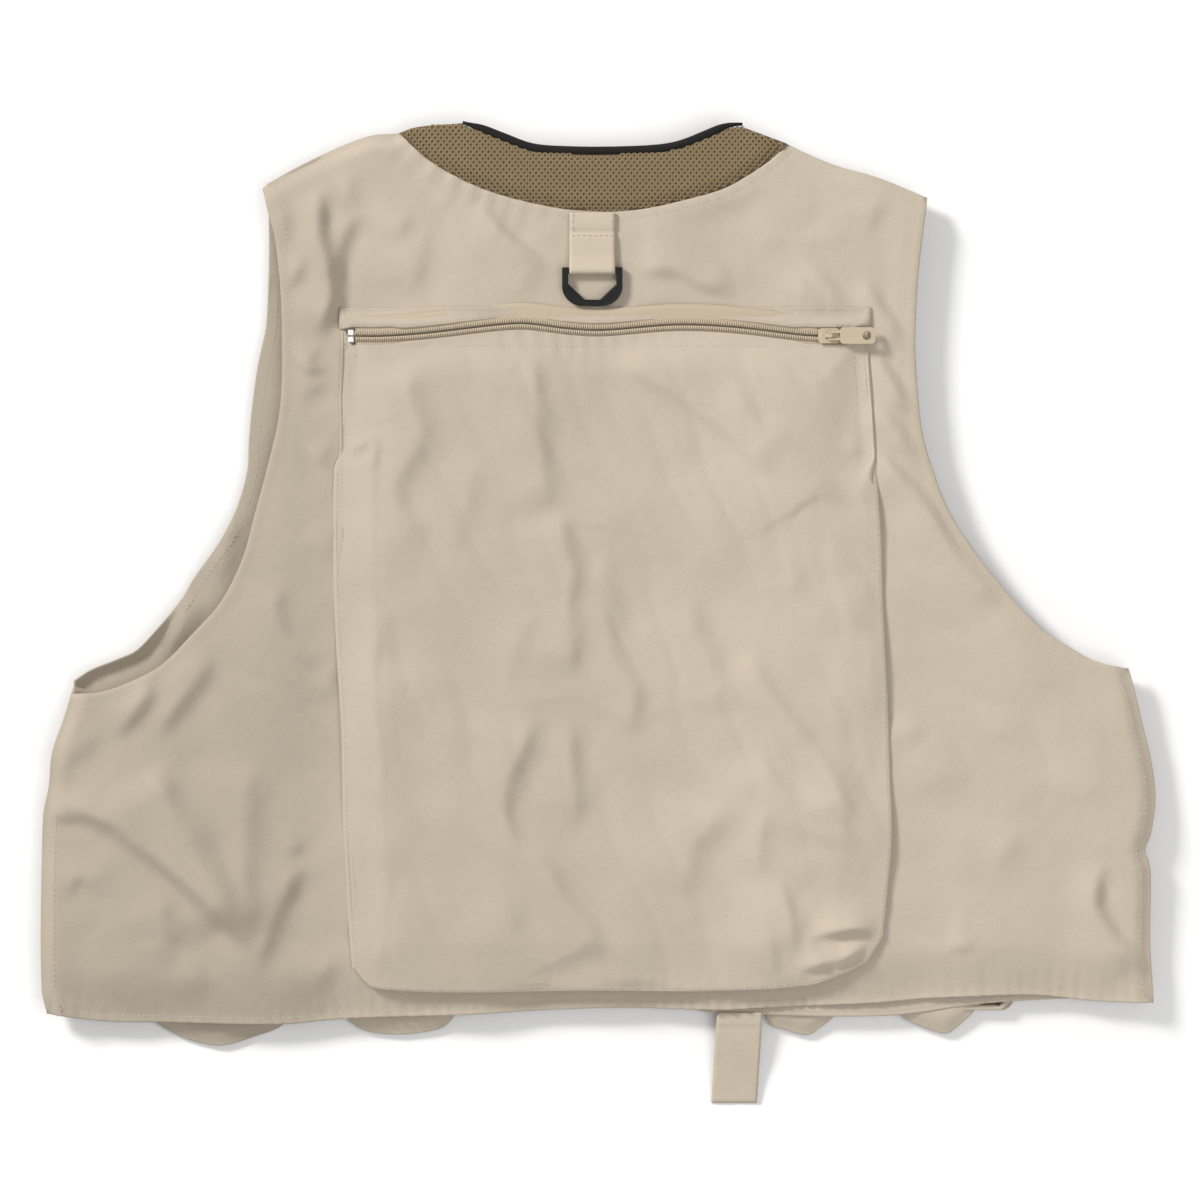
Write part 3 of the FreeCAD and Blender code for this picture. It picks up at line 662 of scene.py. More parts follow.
def grid(rows, columns):
    """Four-sided faces between rows of points, with that many points in each row."""
    return [(i * columns + j, (i + 1) * columns + j, (i + 1) * columns + j + 1, i * columns + j + 1)
            for i in range(rows - 1) for j in range(columns - 1)]


def strip(line, columns, material, name, thickness):
    """A band along a line. Each column is how far left of the line it runs, and its height, a
    number or one for each point of the line."""
    sets = [np.column_stack([beside(line, offset), np.broadcast_to(level, len(line))])
            for offset, level in columns]
    points = np.stack(sets, 1).reshape(-1, 3)
    return make_piece(name, points, grid(len(line), len(columns)), material, thickness)


for hand in ("left", "right"):
    low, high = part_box("front_facing_" + hand)
    line = np.column_stack([np.full(60, (low[0] + high[0]) * 500),
                            np.linspace(low[1] * 1000 + 7, high[1] * 1000, 60)])
    half = (high[0] - low[0]) * 500
    columns = [(offset, front_height(beside(line, offset)) + 1.15) for offset in
               np.linspace(-half, half, 9)]
    facing = strip(line, columns, vest_cloth, "front_facing_cloth_" + hand, 0.6)
    settle(facing, "vest", "front_facing_" + hand)

# ---- Side and shoulder seams, and armhole facings
# The seams that close the fronts to the back are felled: a thick rolled edge, topstitched. The
# facings are straight strips of the cloth, sewn inside each armhole of the back.


def rolled(name, line, across, high, material, ends=1.0):
    """A rounded bar along a line of points, with closed ends that may be thinner."""
    sides = 10
    ahead = np.gradient(line, axis=0)
    ahead /= np.linalg.norm(ahead, axis=1)[:, None]
    left = np.column_stack([-ahead[:, 1], ahead[:, 0], np.zeros(len(line))])
    left /= np.linalg.norm(left, axis=1)[:, None]
    up = np.cross(ahead, left)
    rings = []
    from_end = np.minimum(np.arange(len(line)), np.arange(len(line))[::-1])
    full = (ends + (1 - ends) * rise(from_end / 5))[:, None]
    for turn in np.arange(sides) * 2 * np.pi / sides:
        rings.append(line + full * (left * across / 2 * np.cos(turn) + up * high / 2 * np.sin(turn)))
    points = np.stack(rings, 1).reshape(-1, 3)
    faces = [(i * sides + j, i * sides + (j + 1) % sides, (i + 1) * sides + (j + 1) % sides,
              (i + 1) * sides + j) for i in range(len(line) - 1) for j in range(sides)]
    faces.append(tuple(range(sides))[::-1])
    faces.append(tuple(range(len(points) - sides, len(points))))
    return make_piece(name, points, [face[::-1] for face in faces], material)


for name, line, node in (("side_seam_roll_left", left_side, "side_seam_left"),
                         ("side_seam_roll_right", right_side[::-1], "side_seam_right"),
                         ("shoulder_seam_roll_left", left_shoulder, "shoulder_seam_left"),
                         ("shoulder_seam_roll_right", right_shoulder[::-1], "shoulder_seam_right")):
    level = back_height(line)
    inward = -line / np.hypot(*line.T)[:, None]
    lowered = np.column_stack([line + 0.8 * inward, level - 1.5])
    roll = rolled(name, lowered, 1.6, 2.4, vest_cloth)
    settle(roll, "vest", node)

for hand, line in (("left", left_armhole), ("right", right_armhole)):
    columns = [(offset, back_height(beside(line, offset)) - 0.8) for offset in (0.9, 4, 8, 12)]
    facing = strip(line, columns, vest_cloth, "armhole_facing_cloth_" + hand, 0.5)
    settle(facing, "vest", "armhole_facing_" + hand)

# ---- Collar
# Brown spacer mesh, about 3 mm thick: a knitted face of small staggered holes over a plain
# backing. It is sewn to the neck curve, and its free edge is bound in black tape.
mesh_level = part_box("collar_mesh")[1][2] * 1000
bound_edge = through([(-76, 271), (-68, 268.5), (-54, 263), (-37, 257), (-15, 255.3), (12, 255.3),
                      (35, 256.5), (47, 259), (62, 265), (73, 269.5), (80, 270)], 3)
collar_edge = closed(neck_seam[::-1], np.array([(105.0, 261.0), (80.0, 270.0)]), bound_edge[::-1],
                     through([(-76, 272), (-101, 270), (-111, 267)], 3))


def collar_height(spots):
    """The face of the spacer mesh."""
    sewn = reach(spots, neck_seam)[0]
    ends = rise((112 - np.abs(spots[:, 0])) / 26)
    soft = drift(spots, 12, 55, 0.35)
    return mesh_level - 1.4 * (1 - rise(sewn / 7)) - 2.4 * (1 - ends) + soft * rise(sewn / 10)


mesh_backing = cloth_material("mesh_backing", (0.165, 0.114, 0.056), 0.95, 0.0012, 0.4, 0.0, 0.06)
mesh_thread = cloth_material("mesh_thread", (0.262, 0.19, 0.098), 0.85, 0.0006, 0.5, 0.0, 0.12)
spots, faces = flat_cloth(collar_edge, 3.0)
collar_base = make_piece("collar_backing", np.column_stack([spots, collar_height(spots) - 0.75]),
                         faces, mesh_backing, 2.0)


def hole_rings():
    """A Geometry Nodes tree that sets a knitted ring, one mesh hole, on every point."""
    tree, given = new_tree("rings_on_points", {
        "Points": "Geometry", "Hole Radius": "Float", "Thread Radius": "Float", "Shape": "Vector",
        "Material": "Material"}, "Rings")
    hole = add_node(tree, "GeometryNodeCurvePrimitiveCircle", {
        "Resolution": 8, "Radius": given["Hole Radius"]})
    thread = add_node(tree, "GeometryNodeCurvePrimitiveCircle", {
        "Resolution": 4, "Radius": given["Thread Radius"]})
    ring = add_node(tree, "GeometryNodeCurveToMesh", {
        "Curve": hole.outputs[0], "Profile Curve": thread.outputs[0]})
    smooth = add_node(tree, "GeometryNodeSetShadeSmooth", {0: ring.outputs[0]})
    shape = add_node(tree, "GeometryNodeTransform", {
        "Geometry": smooth.outputs[0], "Scale": given["Shape"]})
    return spread_out(tree, given["Points"], shape.outputs[0], None, given["Material"])


hole_across = 3.3
hole_apart = 3.9
x, y = np.meshgrid(np.arange(-112, 112, hole_across), np.arange(215, 276, hole_apart / 2))
x[1::2] += hole_across / 2
hole_spots = np.stack([x.ravel(), y.ravel()], 1)
hole_spots = hole_spots[inside(hole_spots, collar_edge)]
hole_spots = hole_spots[reach(hole_spots, around(collar_edge))[0] > 1.3]
hole_points = bpy.data.meshes.new("hole_points")
hole_points.from_pydata(
    (np.column_stack([hole_spots, collar_height(hole_spots) - 0.55]) * 0.001).tolist(), [], [])
collar_face = grown("collar_face", hole_rings(), hole_points,
                    {"Hole Radius": 0.00128, "Thread Radius": 0.0006, "Shape": (1.0, 1.06, 1.0),
                     "Material": mesh_thread})
for piece in (collar_base, collar_face):
    settle(piece, "vest")
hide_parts("collar_mesh")

black_binding = cloth_material("black_binding", (0.009, 0.0085, 0.008), 0.75, 0.0009, 0.8, 0.3, 0.3,
                               sheen=0.03)
binding_line = beside(bound_edge, 1.6)
binding_level = collar_height(bound_edge) - 1.4
binding = rolled("binding_tape", np.column_stack([binding_line, binding_level]), 4.9, 3.4,
                 black_binding, ends=0.35)
settle(binding, "vest", "collar_binding")
binding_stitches = beads("binding_stitches",
                         [np.column_stack([beside(bound_edge, 0.2), binding_level + 1.45])],
                         2.9, 2.1, 0.4, 0.3, black_binding)
settle(binding_stitches, "vest")

# ---- Ring tab and ring
# A short tab of folded cloth is caught in the neck seam and goes round the bar of a black
# moulded ring, which swings on it.
bar_low, bar_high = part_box("d_ring")
tab_low, tab_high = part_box("ring_tab")
bar_y = bar_high[1] * 1000 - 1.7
bar_z = (bar_low[2] + bar_high[2]) * 500
wrap = 2.2


def folded_band(name, profile, left_x, right_x, material, thickness, lean=0.0, columns=14, sag=0.0):
    """A band of cloth that keeps one side profile, a list of (y, z), across its width."""
    path = through(profile, 1.0)
    across = np.linspace(0, 1, columns)
    points = []
    for y_value, z_value in path:
        for share in across:
            wave = sag * np.sin(share * 9 + y_value * 0.21)
            x_value = left_x + share * (right_x - left_x) + lean * (y_value - path[0][0])
            points.append((x_value, y_value, z_value + wave))
    faces = [(a, d, c, b) for a, b, c, d in grid(len(path), columns)]
    return make_piece(name, points, faces, material, thickness)


round_bar = [(bar_y + wrap * np.cos(np.radians(turn)), bar_z + wrap * np.sin(np.radians(turn)))
             for turn in (290, 250, 215, 180, 145, 110, 75)]
tab_end = 222.4
tab_profile = ([(tab_end, 16.75), (212, 16.75), (200, 16.8), (194, 16.75)] + round_bar
               + [(193.6, 20.2), (198, 18.9), (204, 18.6), (208.5, 18.4), (211.5, 17.45), (214, 18.0),
                  (219, 18.0), (tab_end, 17.5)])
tab_left = tab_low[0] * 1000
tab_right = tab_high[0] * 1000
tab_cloth = cloth_material("tab_cloth", (0.55, 0.475, 0.37), 0.85, 0.0008, 0.6, 0.3, 0.06)
ring_tab = folded_band("tab_loop", tab_profile, tab_left, tab_right, tab_cloth, 0.7, sag=0.08)
settle(ring_tab, "ring_tab", "ring_tab")
tab_rows = [[(tab_left + 2, 209.6, 18.5), (tab_right - 2, 209.6, 18.5)]]
tab_rows += [[(x_value, y_value, 18.42) for y_value in (213.5, 218, 221)]
             for x_value in (tab_left + 1.8, tab_right - 1.8)]
tab_stitches = beads("tab_stitches", tab_rows, *stitch_sizes)
settle(tab_stitches, "ring_tab")


def moulded(name, colour, roughness, grain, wear):
    """Moulded plastic or enamel with a fine grain and slightly rubbed patches."""
    material = bpy.data.materials.new(name)
    material.use_nodes = True
    tree = material.node_tree
    shader = tree.nodes["Principled BSDF"]
    shader.inputs["Specular IOR Level"].default_value = 0.35
    patch = noise(tree, 160, 4)
    dye = add_node(tree, "ShaderNodeValToRGB", {"Fac": patch})
    dye.color_ramp.elements[0].position = 0.35
    dye.color_ramp.elements[0].color = (*colour, 1)
    dye.color_ramp.elements[1].position = 0.75
    dye.color_ramp.elements[1].color = (*[value * (1 + wear) for value in colour], 1)
    gloss = add_node(tree, "ShaderNodeMapRange", {
        "Value": patch, "To Min": roughness - 0.08, "To Max": roughness + 0.12})
    bump = add_node(tree, "ShaderNodeBump", {
        "Height": noise(tree, 900, 3), "Distance": grain, "Strength": 0.4})
    tree.links.new(dye.outputs["Color"], shader.inputs["Base Color"])
    tree.links.new(gloss.outputs["Result"], shader.inputs["Roughness"])
    tree.links.new(bump.outputs["Normal"], shader.inputs["Normal"])
    return material


def refinish(node, material):
    """Gives a CAD node's faces their finished material."""
    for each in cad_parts[node].material_slots:
        each.material = material


refinish("d_ring", moulded("ring_plastic", (0.005, 0.0047, 0.0044), 0.36, 0.00006, 0.35))

# ---- Back cargo pocket
# An outer panel of the vest's cloth on a bellows gusset. It is sewn flat across the top and down
# the upper sides. Lower down its edges stand free over the folded gusset. It bulges a little.
pocket_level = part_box("back_pocket_panel")[1][2] * 1000
zip_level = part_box("back_zip_tape_upper")[1][2] * 1000
chain_y = (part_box("back_zip_slider")[0][1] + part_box("back_zip_slider")[1][1]) * 500
chain = through([(-137, chain_y), (-121, chain_y), (-98, 155.2), (-56, 160), (-41, 160.7), (-18, 158),
                 (1, 157), (43, 160), (75, 158.7), (110, 154.6), (122, chain_y), (140, chain_y)], 2)
lips = 3.6 + 1.2 * rise((-108 - chain[:-1, 0]) / 8) + 1.0 * rise((chain[:-1, 0] - 108) / 8)
chain_below = chain[:-1] - np.column_stack([0 * lips, lips])
chain_above = chain[:-1] + np.column_stack([0 * lips, lips])
panel_edge = closed(
    pocket_left_edge[4:], pocket_low_edge, pocket_right_edge[:-4],
    np.vstack([pocket_right_edge[-4], (142, 158), chain_below[::-1], (-141, 158),
               pocket_left_edge[4]]))
sewn_left = np.array([(-144.0, 172.0), (-144.0, 92.0)])
sewn_right = np.array([(151.0, 172.0), (153.0, 88.0)])
pocket_creases = [
    (2.8, 4.5, 10, [(8, 146), (17, 136), (29, 127), (45, 118), (56, 110), (70, 99), (81, 88), (97, 75)]),
    (1.8, 6, 10, [(71, 132), (81, 118), (90, 104), (96, 88)]),
    (2.6, 8, 13, [(88, 112), (112, 88), (123, 77), (131, 68), (134, 57)]),
    (1.2, 4, 8, [(132, 90), (142, 89), (152, 86)]),
    (1.2, 4, 8, [(135, 74), (145, 64), (155, 60)]),
    (2.4, 6, 10, [(-101, 142), (-100, 118), (-96, 96), (-107, 77), (-109, 68), (-105, 54), (-88, 46)]),
    (1.4, 6, 10, [(-65, 90), (-69, 63), (-76, 41), (-81, 26)]),
    (3.0, 5.5, 12, [(-34, 147), (-32, 118), (-30, 90), (-27, 74), (-23, 54)]),
    (3.2, 5.5, 12, [(-22, 62), (-16, 38), (-12, 24), (-15, 7), (-12, -15), (-13, -39)]),
    (2.7, 6.5, 13, [(0, 36), (7, 7), (9, -15), (15, -32), (22, -43), (20, -59), (13, -73)]),
    (1.5, 6, 11, [(-30, 8), (-39, -9), (-44, -23), (-49, -46)]),
    (2.0, 9, 14, [(-117, 12), (-121, -21), (-118, -43), (-117, -82), (-110, -98), (-86, -120)]),
    (3.6, 5.5, 12, [(-37, -54), (-40, -76), (-46, -93), (-50, -109), (-44, -126), (-30, -137),
                    (-19, -151), (-10, -165), (1, -181), (6, -195)]),
    (2.8, 5, 10, [(-13, -56), (-13, -82), (-10, -104), (-14, -122)]),
    (1.4, 6, 10, [(-51, -150), (-48, -170), (-43, -190)]),
    (2.4, 6, 12, [(49, 10), (59, -15), (65, -26), (73, -43), (77, -57)]),
    (3.0, 5.5, 12, [(82, -17), (92, -37), (104, -51), (117, -68), (128, -84), (137, -101), (143, -118)]),
    (2.6, 5.5, 11, [(85, -73), (98, -90), (112, -104), (125, -113)]),
    (1.8, 5, 9, [(124, 15), (137, -1), (145, -7), (155, -12)]),
    (1.8, 5, 9, [(102, -113), (112, -120), (126, -126), (142, -133)]),
    (2.2, 5, 9, [(99, -104), (92, -121), (91, -137), (92, -151)]),
    (2.6, 8, 13, [(71, -100), (65, -120), (56, -132), (51, -148), (47, -162)]),
    (2.2, 3, 7, [(99, -144), (106, -162), (110, -181), (113, -193)]),
    (1.8, 3, 7, [(90, -167), (98, -187), (105, -204)]),
    (1.4, 6, 9, [(118, -156), (115, -176), (112, -190)]),
    (1.5, 6, 10, [(82, 43), (106, 29), (114, 4)]),
    (6.0, 2.2, 4.5, [(116, -183), (126, -179), (144, -176), (158, -181)]),
    (5.4, 2.2, 4.5, [(152, -182), (140, -190), (133, -195), (134, -205)]),
    (4.6, 2.2, 4.5, [(109, -199), (120, -196), (136, -191)]),
    (1.8, 2.4, 5, [(-145, 83), (-138, 87), (-121, 98)]),
    (1.6, 2.4, 5, [(-121, 102), (-122, 90), (-126, 74)]),
    (1.2, 2.2, 5, [(-144, 120), (-137, 108), (-129, 97)]),
    (0.5, 1.8, 5, [(-124, 100), (-123, 7), (-118, -112), (-116, -176), (-118, -193), (-123, -207)]),
    (1.8, 14, 22, [(60, 90), (72, 40), (60, 10)]),
    (1.6, 14, 22, [(-80, -20), (-74, -80), (-84, -150)]),
]


def pocket_height(spots):
    """The top of the pocket's panel above each spot."""
    free_edge = np.minimum(reach(spots, pocket_left_edge)[0], reach(spots, pocket_right_edge)[0])
    low, _, low_run, _ = reach(spots, pocket_low_edge)
    free_edge = np.minimum(free_edge, low)
    at_zip = reach(spots, chain_below)[0]
    left, right = reach(spots, sewn_left)[0], reach(spots, sewn_right)[0]
    sewn = np.minimum(left, right)
    relief = drift(spots, 21, 85, 0.8) + drift(spots, 22, 40, 0.2) + drift(spots, 23, 15, 0.03)
    relief += valleys(spots, 24, 50, 0.8)
    moved = wander(spots, 64, 48, 1.0)
    for lift, steep, broad, points in pocket_creases:
        relief += crease(moved, lift * 0.9, steep * 1.25, broad * 1.25, points)
    relief *= rise(at_zip / 16) * rise(sewn / 14) * (0.3 + 0.7 * rise(free_edge / 10))
    relief += ripples(at_zip, spots[:, 0], 9.5, 0.35, 9) * rise((spots[:, 0] + 80) / 30) * rise(
        (60 - spots[:, 0]) / 40)
    relief += ripples(low, low_run, 8.5, 0.2, 7)
    at_left = reach(spots, pocket_left_edge)[0]
    body = pocket_level - 3.0 * (1 - rise(free_edge / 34)) - 1.2 * (1 - rise(at_left / 30))
    body -= 0.8 * (1 - np.sqrt(1 - np.clip(1 - free_edge / 1.8, 0, 1) ** 2))
    flat_zip = zip_level + 0.85 + (pocket_level - zip_level - 0.85) * rise(at_zip / 26)
    flat_sewn = back_height(spots) + 0.95 + 4.8 * rise(sewn / 32)
    level = np.minimum(np.minimum(body, flat_zip), flat_sewn)
    for line, gap in ((np.abs(spots[:, 1] - 147.6), 0.0), (sewn, 2.5), (sewn, 8.0)):
        level = level - 0.25 * np.exp(-((line - gap) / 0.9) ** 2)
    return level + relief


# Painted shade on the pocket: its colour is lighter towards the wearer's right, standing for how the light
# falls.
pocket_panel = cloth_piece("pocket_cloth", panel_edge, 2.3, pocket_height,
                           painted_shade=lambda spots: 0.99 + 0.10 * rise((spots[:, 0] + 20) / 110))
settle(pocket_panel, "vest", "back_pocket_panel")

bellows_line = closed(pocket_left_edge[4:], pocket_low_edge, pocket_right_edge)
panel_under = pocket_height(bellows_line) - 0.9
free = rise((88 - bellows_line[:, 1]) / 12)
floor_level = back_height(bellows_line) + 0.75
fold_depth = 1.6 + 7.4 * free
# How far in each row of the gusset is folded, and how high it stands: from the panel's edge in,
# and back out to the back panel.
bellows_folds = [(0.08, 1.0), (0.55, 0.93), (0.92, 0.72), (1.0, 0.5), (0.92, 0.26), (0.6, 0.06), (0.3, 0.0)]
bellows_inner = beside(bellows_line, 1.0)
rows = []
for depth, share in bellows_folds:
    folded = (depth * fold_depth)[:, None]
    moved = bellows_inner * folded + bellows_line * (1 - folded)
    level = floor_level + share * (panel_under - floor_level)
    rows.append(np.column_stack([moved, level]))
points = np.stack(rows, 1).reshape(-1, 3)
bellows = make_piece("bellows_cloth", points, grid(len(bellows_line), len(rows)), vest_cloth, 0.5)
settle(bellows, "vest", "back_pocket_gusset")

# ---- Welt above the zip
# A folded strip of cloth along the top of the zip, topstitched to the back with two rows.
welt_edge = np.vstack([[(-144, 169.5), (-144, 157.6)], [(-141, 157.6)], chain_above,
                       [(142, 157.8), (151, 157.8), (151, 169.5)],
                       through([(151, 169.5), (60, 170), (-60, 170), (-144, 169.5)], 3)[1:-1]])


def welt_height(spots):
    """The top of the welt above each spot."""
    at_zip = reach(spots, chain_above)[0]
    top = np.abs(170 - spots[:, 1])
    ends = np.minimum(np.abs(spots[:, 0] + 144), np.abs(151 - spots[:, 0]))
    sewn = back_height(spots) + 0.78
    level = sewn + (zip_level + 1.0 - sewn) * rise(top / 11) * rise((ends + 4) / 8)
    level += ripples(top, spots[:, 0], 10, 0.22, 6)
    level -= 0.25 * np.exp(-((top - 2.0) / 0.8) ** 2)
    return level - 0.4 * (1 - rise(at_zip / 1.5))


welt = cloth_piece("welt_cloth", welt_edge, 2.2, welt_height, rows=(0.7, 1.6))
settle(welt, "vest", "back_zip_welt")

pocket_rows = [on_cloth(through([(-143, 147.4), (-60, 148.4), (0, 147.8), (80, 148.2), (150, 147.4)], 3),
                        pocket_height)]
for line, gaps in ((pocket_left_edge[4:28], (2.5, 8.5)), (pocket_right_edge[-28:-4], (2.5, 8.5))):
    pocket_rows += [on_cloth(beside(line, gap), pocket_height) for gap in gaps]
pocket_rows.append(on_cloth(beside(bellows_line[28:-28], 2.2), pocket_height))
welt_rows = [on_cloth(through([(-142, 168), (-60, 168.3), (60, 168.3), (149, 168)], 3),
                      welt_height),
             on_cloth(chain_above + (0, 1.8), welt_height)]
pocket_stitches = beads("pocket_stitches", pocket_rows + welt_rows, *stitch_sizes)
settle(pocket_stitches, "vest")

# ---- Pocket zip
# A nylon coil zip on woven tapes, tan like the cloth. The slider and its long pull are enamelled
# metal, the end stop is bright, and the two coil rows are closed from end to end.
zip_tape = cloth_material("zip_tape", (0.50, 0.42, 0.305), 0.8, 0.0007, 0.3, 0.0, 0.04)
tape_near = 0.5
tape_far = 11.5
for name, node, low, high in (("upper_tape", "back_zip_tape_upper", tape_near, tape_far),
                              ("lower_tape", "back_zip_tape_lower", -tape_far, -tape_near)):
    columns = [(offset, zip_level - 0.05) for offset in np.linspace(low, high, 5)]
    tape = strip(chain[1:-1], columns, zip_tape, name, 0.45)
    settle(tape, "vest", node)
zip_coil = moulded("zip_coil", (0.56, 0.47, 0.345), 0.42, 0.00003, 0.1)
coil_low, coil_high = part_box("back_zip_coil_upper")
coil_line = chain[(chain[:, 0] > coil_low[0] * 1000 + 0.5) & (chain[:, 0] < coil_high[0] * 1000 - 0.5)]
coil_out = 1.62
coil_up = 0.72
half_turn = 0.62
coil_turns = (1.25, 1.0, 2.75, 1.5, zip_coil)
for name, offset, shift in (("upper", coil_out, 0), ("lower", -coil_out, half_turn)):
    line = beside(coil_line, offset) + (shift, 0)
    level = np.full(len(line), zip_level + coil_up)
    coil = beads("coil_" + name, [np.column_stack([line, level])], *coil_turns)
    settle(coil, "vest", "back_zip_coil_" + name)
bright_stop = moulded("zip_stops", (0.82, 0.82, 0.80), 0.3, 0.00002, 0.05)
for node in ("back_zip_end_stop", "back_zip_top_stops"):
    refinish(node, bright_stop)
enamel = moulded("zip_enamel", (0.50, 0.415, 0.29), 0.33, 0.00002, 0.08)
for node in ("back_zip_slider", "back_zip_pull"):
    refinish(node, enamel)

# ---- Hem strap
# Two layers of cloth, folded at the free end, that hang from the front hem and lie on the table.
strap_low, strap_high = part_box("hem_strap")
strap_end = strap_low[1] * 1000
strap_root = -222.6
strap_profile = [(strap_root, 7.95), (-226, 7.6), (-231, 6.9), (-240, 5.3), (-255, 2.9), (-267, 1.1),
                 (strap_end + 1.4, 0.5), (strap_end + 0.4, 0.95), (strap_end + 1.4, 1.35),
                 (-267, 2.0), (-255, 3.9), (-240, 6.5), (-233, 7.5), (-231, 7.6), (-229, 8.2),
                 (-225.5, 8.5), (strap_root, 8.75)]
strap = folded_band("strap_band", strap_profile[::-1], strap_low[0] * 1000, strap_high[0] * 1000,
                    tab_cloth, 0.6, lean=0.055, columns=16, sag=0.1)
settle(strap, "hem_strap", "hem_strap")

# ---- Front zip
# The same coil zip, made to part at the bottom, sewn between the fronts on the underside.
for hand, side in (("left", -1), ("right", 1)):
    low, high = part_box("front_zip_tape_" + hand)
    line = np.column_stack([np.zeros(80), np.linspace(low[1], high[1], 80) * 1000])
    edges = sorted((-side * tape_near, -side * tape_far))
    columns = [(offset, front_level + 0.5) for offset in np.linspace(*edges, 4)]
    tape = strip(line, columns, zip_tape, "front_tape_" + hand, 0.4)
    settle(tape, "vest", "front_zip_tape_" + hand)
    low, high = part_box("front_zip_coil_" + hand)
    shift = half_turn if hand == "left" else 0.0
    line = np.column_stack([np.full(40, side * coil_out),
                            np.linspace(low[1] * 1000 + 0.6, high[1] * 1000 - 1.2, 40) + shift,
                            np.full(40, front_level - coil_up)])
    coil = beads("front_coil_" + hand, [line], *coil_turns)
    settle(coil, "vest", "front_zip_coil_" + hand)
for node, finish in (("front_zip_top_stops", bright_stop), ("front_zip_box", zip_coil),
                     ("front_zip_pin", zip_coil), ("front_zip_slider", enamel), ("front_zip_pull", enamel)):
    refinish(node, finish)

# ---- Front pockets
# Bellows bags on both fronts, pressed flat underneath: a face stepped in under a flap, a gusset
# round three sides, and flaps that close with hook and loop tape. The lower pockets' boxed
# corners stick out past the hem.
hook_tape = cloth_material("hook_and_loop", (0.47, 0.40, 0.30), 0.95, 0.0011, 1.0, 0.3, 0.1)


def rounded(x0, x1, y0, y1, radius):
    """A rectangle with its lower corners rounded."""
    arc = np.radians(np.linspace(0, 90, 6))
    right = [(x1 - radius + radius * np.sin(a), y0 + radius - radius * np.cos(a)) for a in arc]
    left = [(x0 + radius - radius * np.sin(a), y0 + radius - radius * np.cos(a)) for a in arc[::-1]]
    corners = left + right + [(x1, y1), (x0, y1)]
    edge = []
    for start, end in zip(corners, corners[1:] + corners[:1]):
        start, end = np.array(start), np.array(end)
        count = max(1, int(np.linalg.norm(end - start) / 4))
        edge += [start + (end - start) * k / count for k in range(count)]
    return np.array(edge)


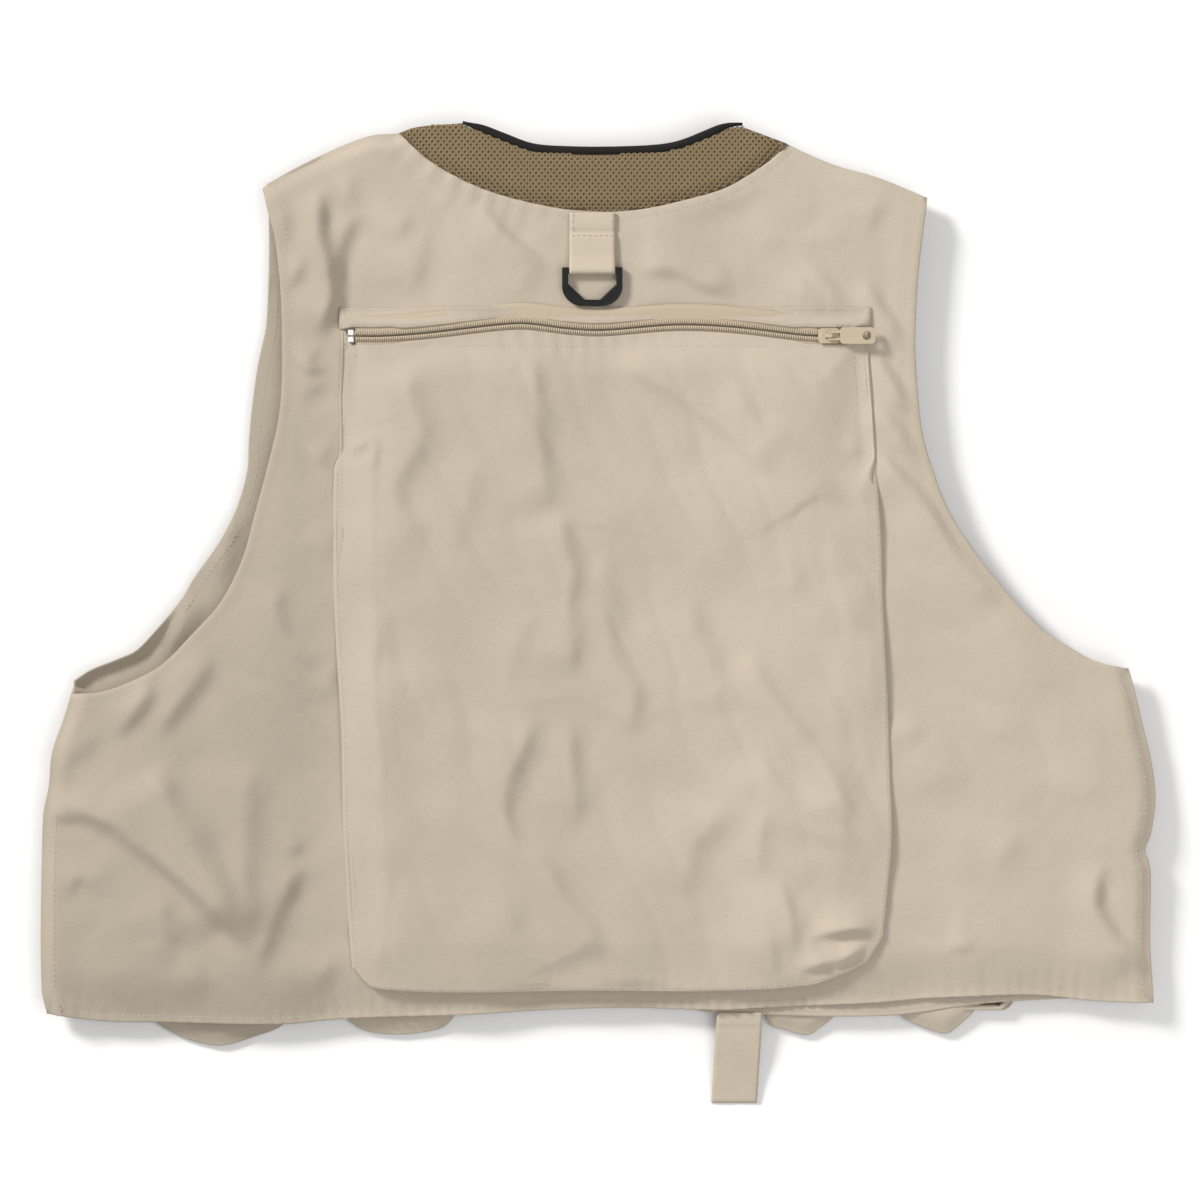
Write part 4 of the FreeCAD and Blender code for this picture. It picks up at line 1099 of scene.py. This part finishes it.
corner_shapes = {
    "left": [[(-250, -214), (-248, -228), (-216, -241.5), (-190, -236), (-174, -228), (-172, -214)],
             [(-142, -214), (-140, -227), (-123, -235), (-89, -232.5), (-80, -224), (-79, -214)]],
    "right": [[(93, -214), (95, -229), (105, -233), (117, -236), (123, -232.5), (133, -223), (134, -214)],
              [(166, -214), (168, -224), (176, -229), (192, -235), (197, -234), (212, -219.5), (216, -211)]],
}
for kind, seed in (("lower_pocket", 30), ("chest_pocket", 40)):
    for hand in ("left", "right"):
        flap_body = f"{kind}_flap_{hand}"
        face_low, face_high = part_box(f"{kind}_panel_{hand}")
        flap_low, flap_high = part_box(flap_body)
        x0, x1 = face_low[0] * 1000, face_high[0] * 1000
        y0, mouth = face_low[1] * 1000, face_high[1] * 1000
        tip, hinge = flap_low[1] * 1000, flap_high[1] * 1000
        edge = rounded(x0, x1, y0, mouth, 7)
        spots, faces = flat_cloth(edge, 4.0)
        sides = np.minimum(np.minimum(spots[:, 0] - x0, x1 - spots[:, 0]), spots[:, 1] - y0)
        level = 0.75 + np.abs(drift(spots, seed, 60, 0.5)) * rise((tip - 6 - spots[:, 1]) / 12)
        level += 2.0 * (1 - rise(sides / 5)) + 2.3 * rise((spots[:, 1] - tip + 5) / 3)
        face = make_piece(f"{kind}_face_{hand}", np.column_stack([spots, level]), faces, vest_cloth, 0.6)
        settle(face, "vest", f"{kind}_panel_{hand}")

        wall_line = np.array([(x1 - 0.3, y) for y in np.linspace(mouth, y0 + 7, 40)]
                             + [(x0 + 7 + (x1 - x0 - 14) * k, y0 + 0.3) for k in np.linspace(1, 0, 40)]
                             + [(x0 + 0.3, y) for y in np.linspace(y0 + 7, mouth, 40)])
        inset = [(-0.2, 2.6), (-2.4, 3.4), (-3.4, 4.7), (-2.4, 6.0), (-0.2, 6.9)]
        wall = strip(wall_line, inset, vest_cloth, f"{kind}_wall_{hand}", 0.5)
        settle(wall, "vest", f"{kind}_gusset_{hand}")
        if kind == "lower_pocket":
            for index, corner in enumerate(corner_shapes[hand]):
                edge = through(corner + corner[:1], 3)[:-1]
                spots, faces = flat_cloth(edge, 2.6)
                distance = reach(spots, around(edge))[0]
                level = 3.4 + 1.6 * rise(distance / 7) + 2.2 * rise((spots[:, 1] + 236) / 14)
                level += drift(spots, 50 + index, 24, 0.3)
                level -= 0.2 * np.exp(-((distance - 3) / 0.9) ** 2)
                ear = make_piece(f"pocket_corner_{hand}_{index}", np.column_stack([spots, level]),
                                 faces, vest_cloth, 1.7)
                settle(ear, "vest")

        edge = rounded(flap_low[0] * 1000, flap_high[0] * 1000, tip, hinge - 0.4, 8)
        spots, faces = flat_cloth(edge, 3.4)
        fall = rise((spots[:, 1] - (hinge - 20)) / 20)
        level = 0.75 + (flap_high[2] * 1000 - 0.75) * fall
        level += 0.25 * rise((spots[:, 1] - tip) / 8)
        flap = make_piece(f"{kind}_flap_cloth_{hand}", np.column_stack([spots, level]), faces,
                          vest_cloth, 0.7)
        settle(flap, flap_body, flap_body)
        for tape_kind, body in (("hook", flap_body), ("loop", "vest")):
            pad_low, pad_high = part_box(f"{kind}_{tape_kind}_pad_{hand}")
            edge = rounded(pad_low[0] * 1000, pad_high[0] * 1000, pad_low[1] * 1000,
                           pad_high[1] * 1000, 1.5)
            spots, faces = flat_cloth(edge, 3.0, rows=(0.7,))
            top = pad_high[2] * 1000 - (0.15 if tape_kind == "loop" else 0.2)
            pad = make_piece(f"{kind}_{tape_kind}_tape_{hand}",
                             np.column_stack([spots, np.full(len(spots), top)]), faces, hook_tape, 0.4)
            settle(pad, body, f"{kind}_{tape_kind}_pad_{hand}")
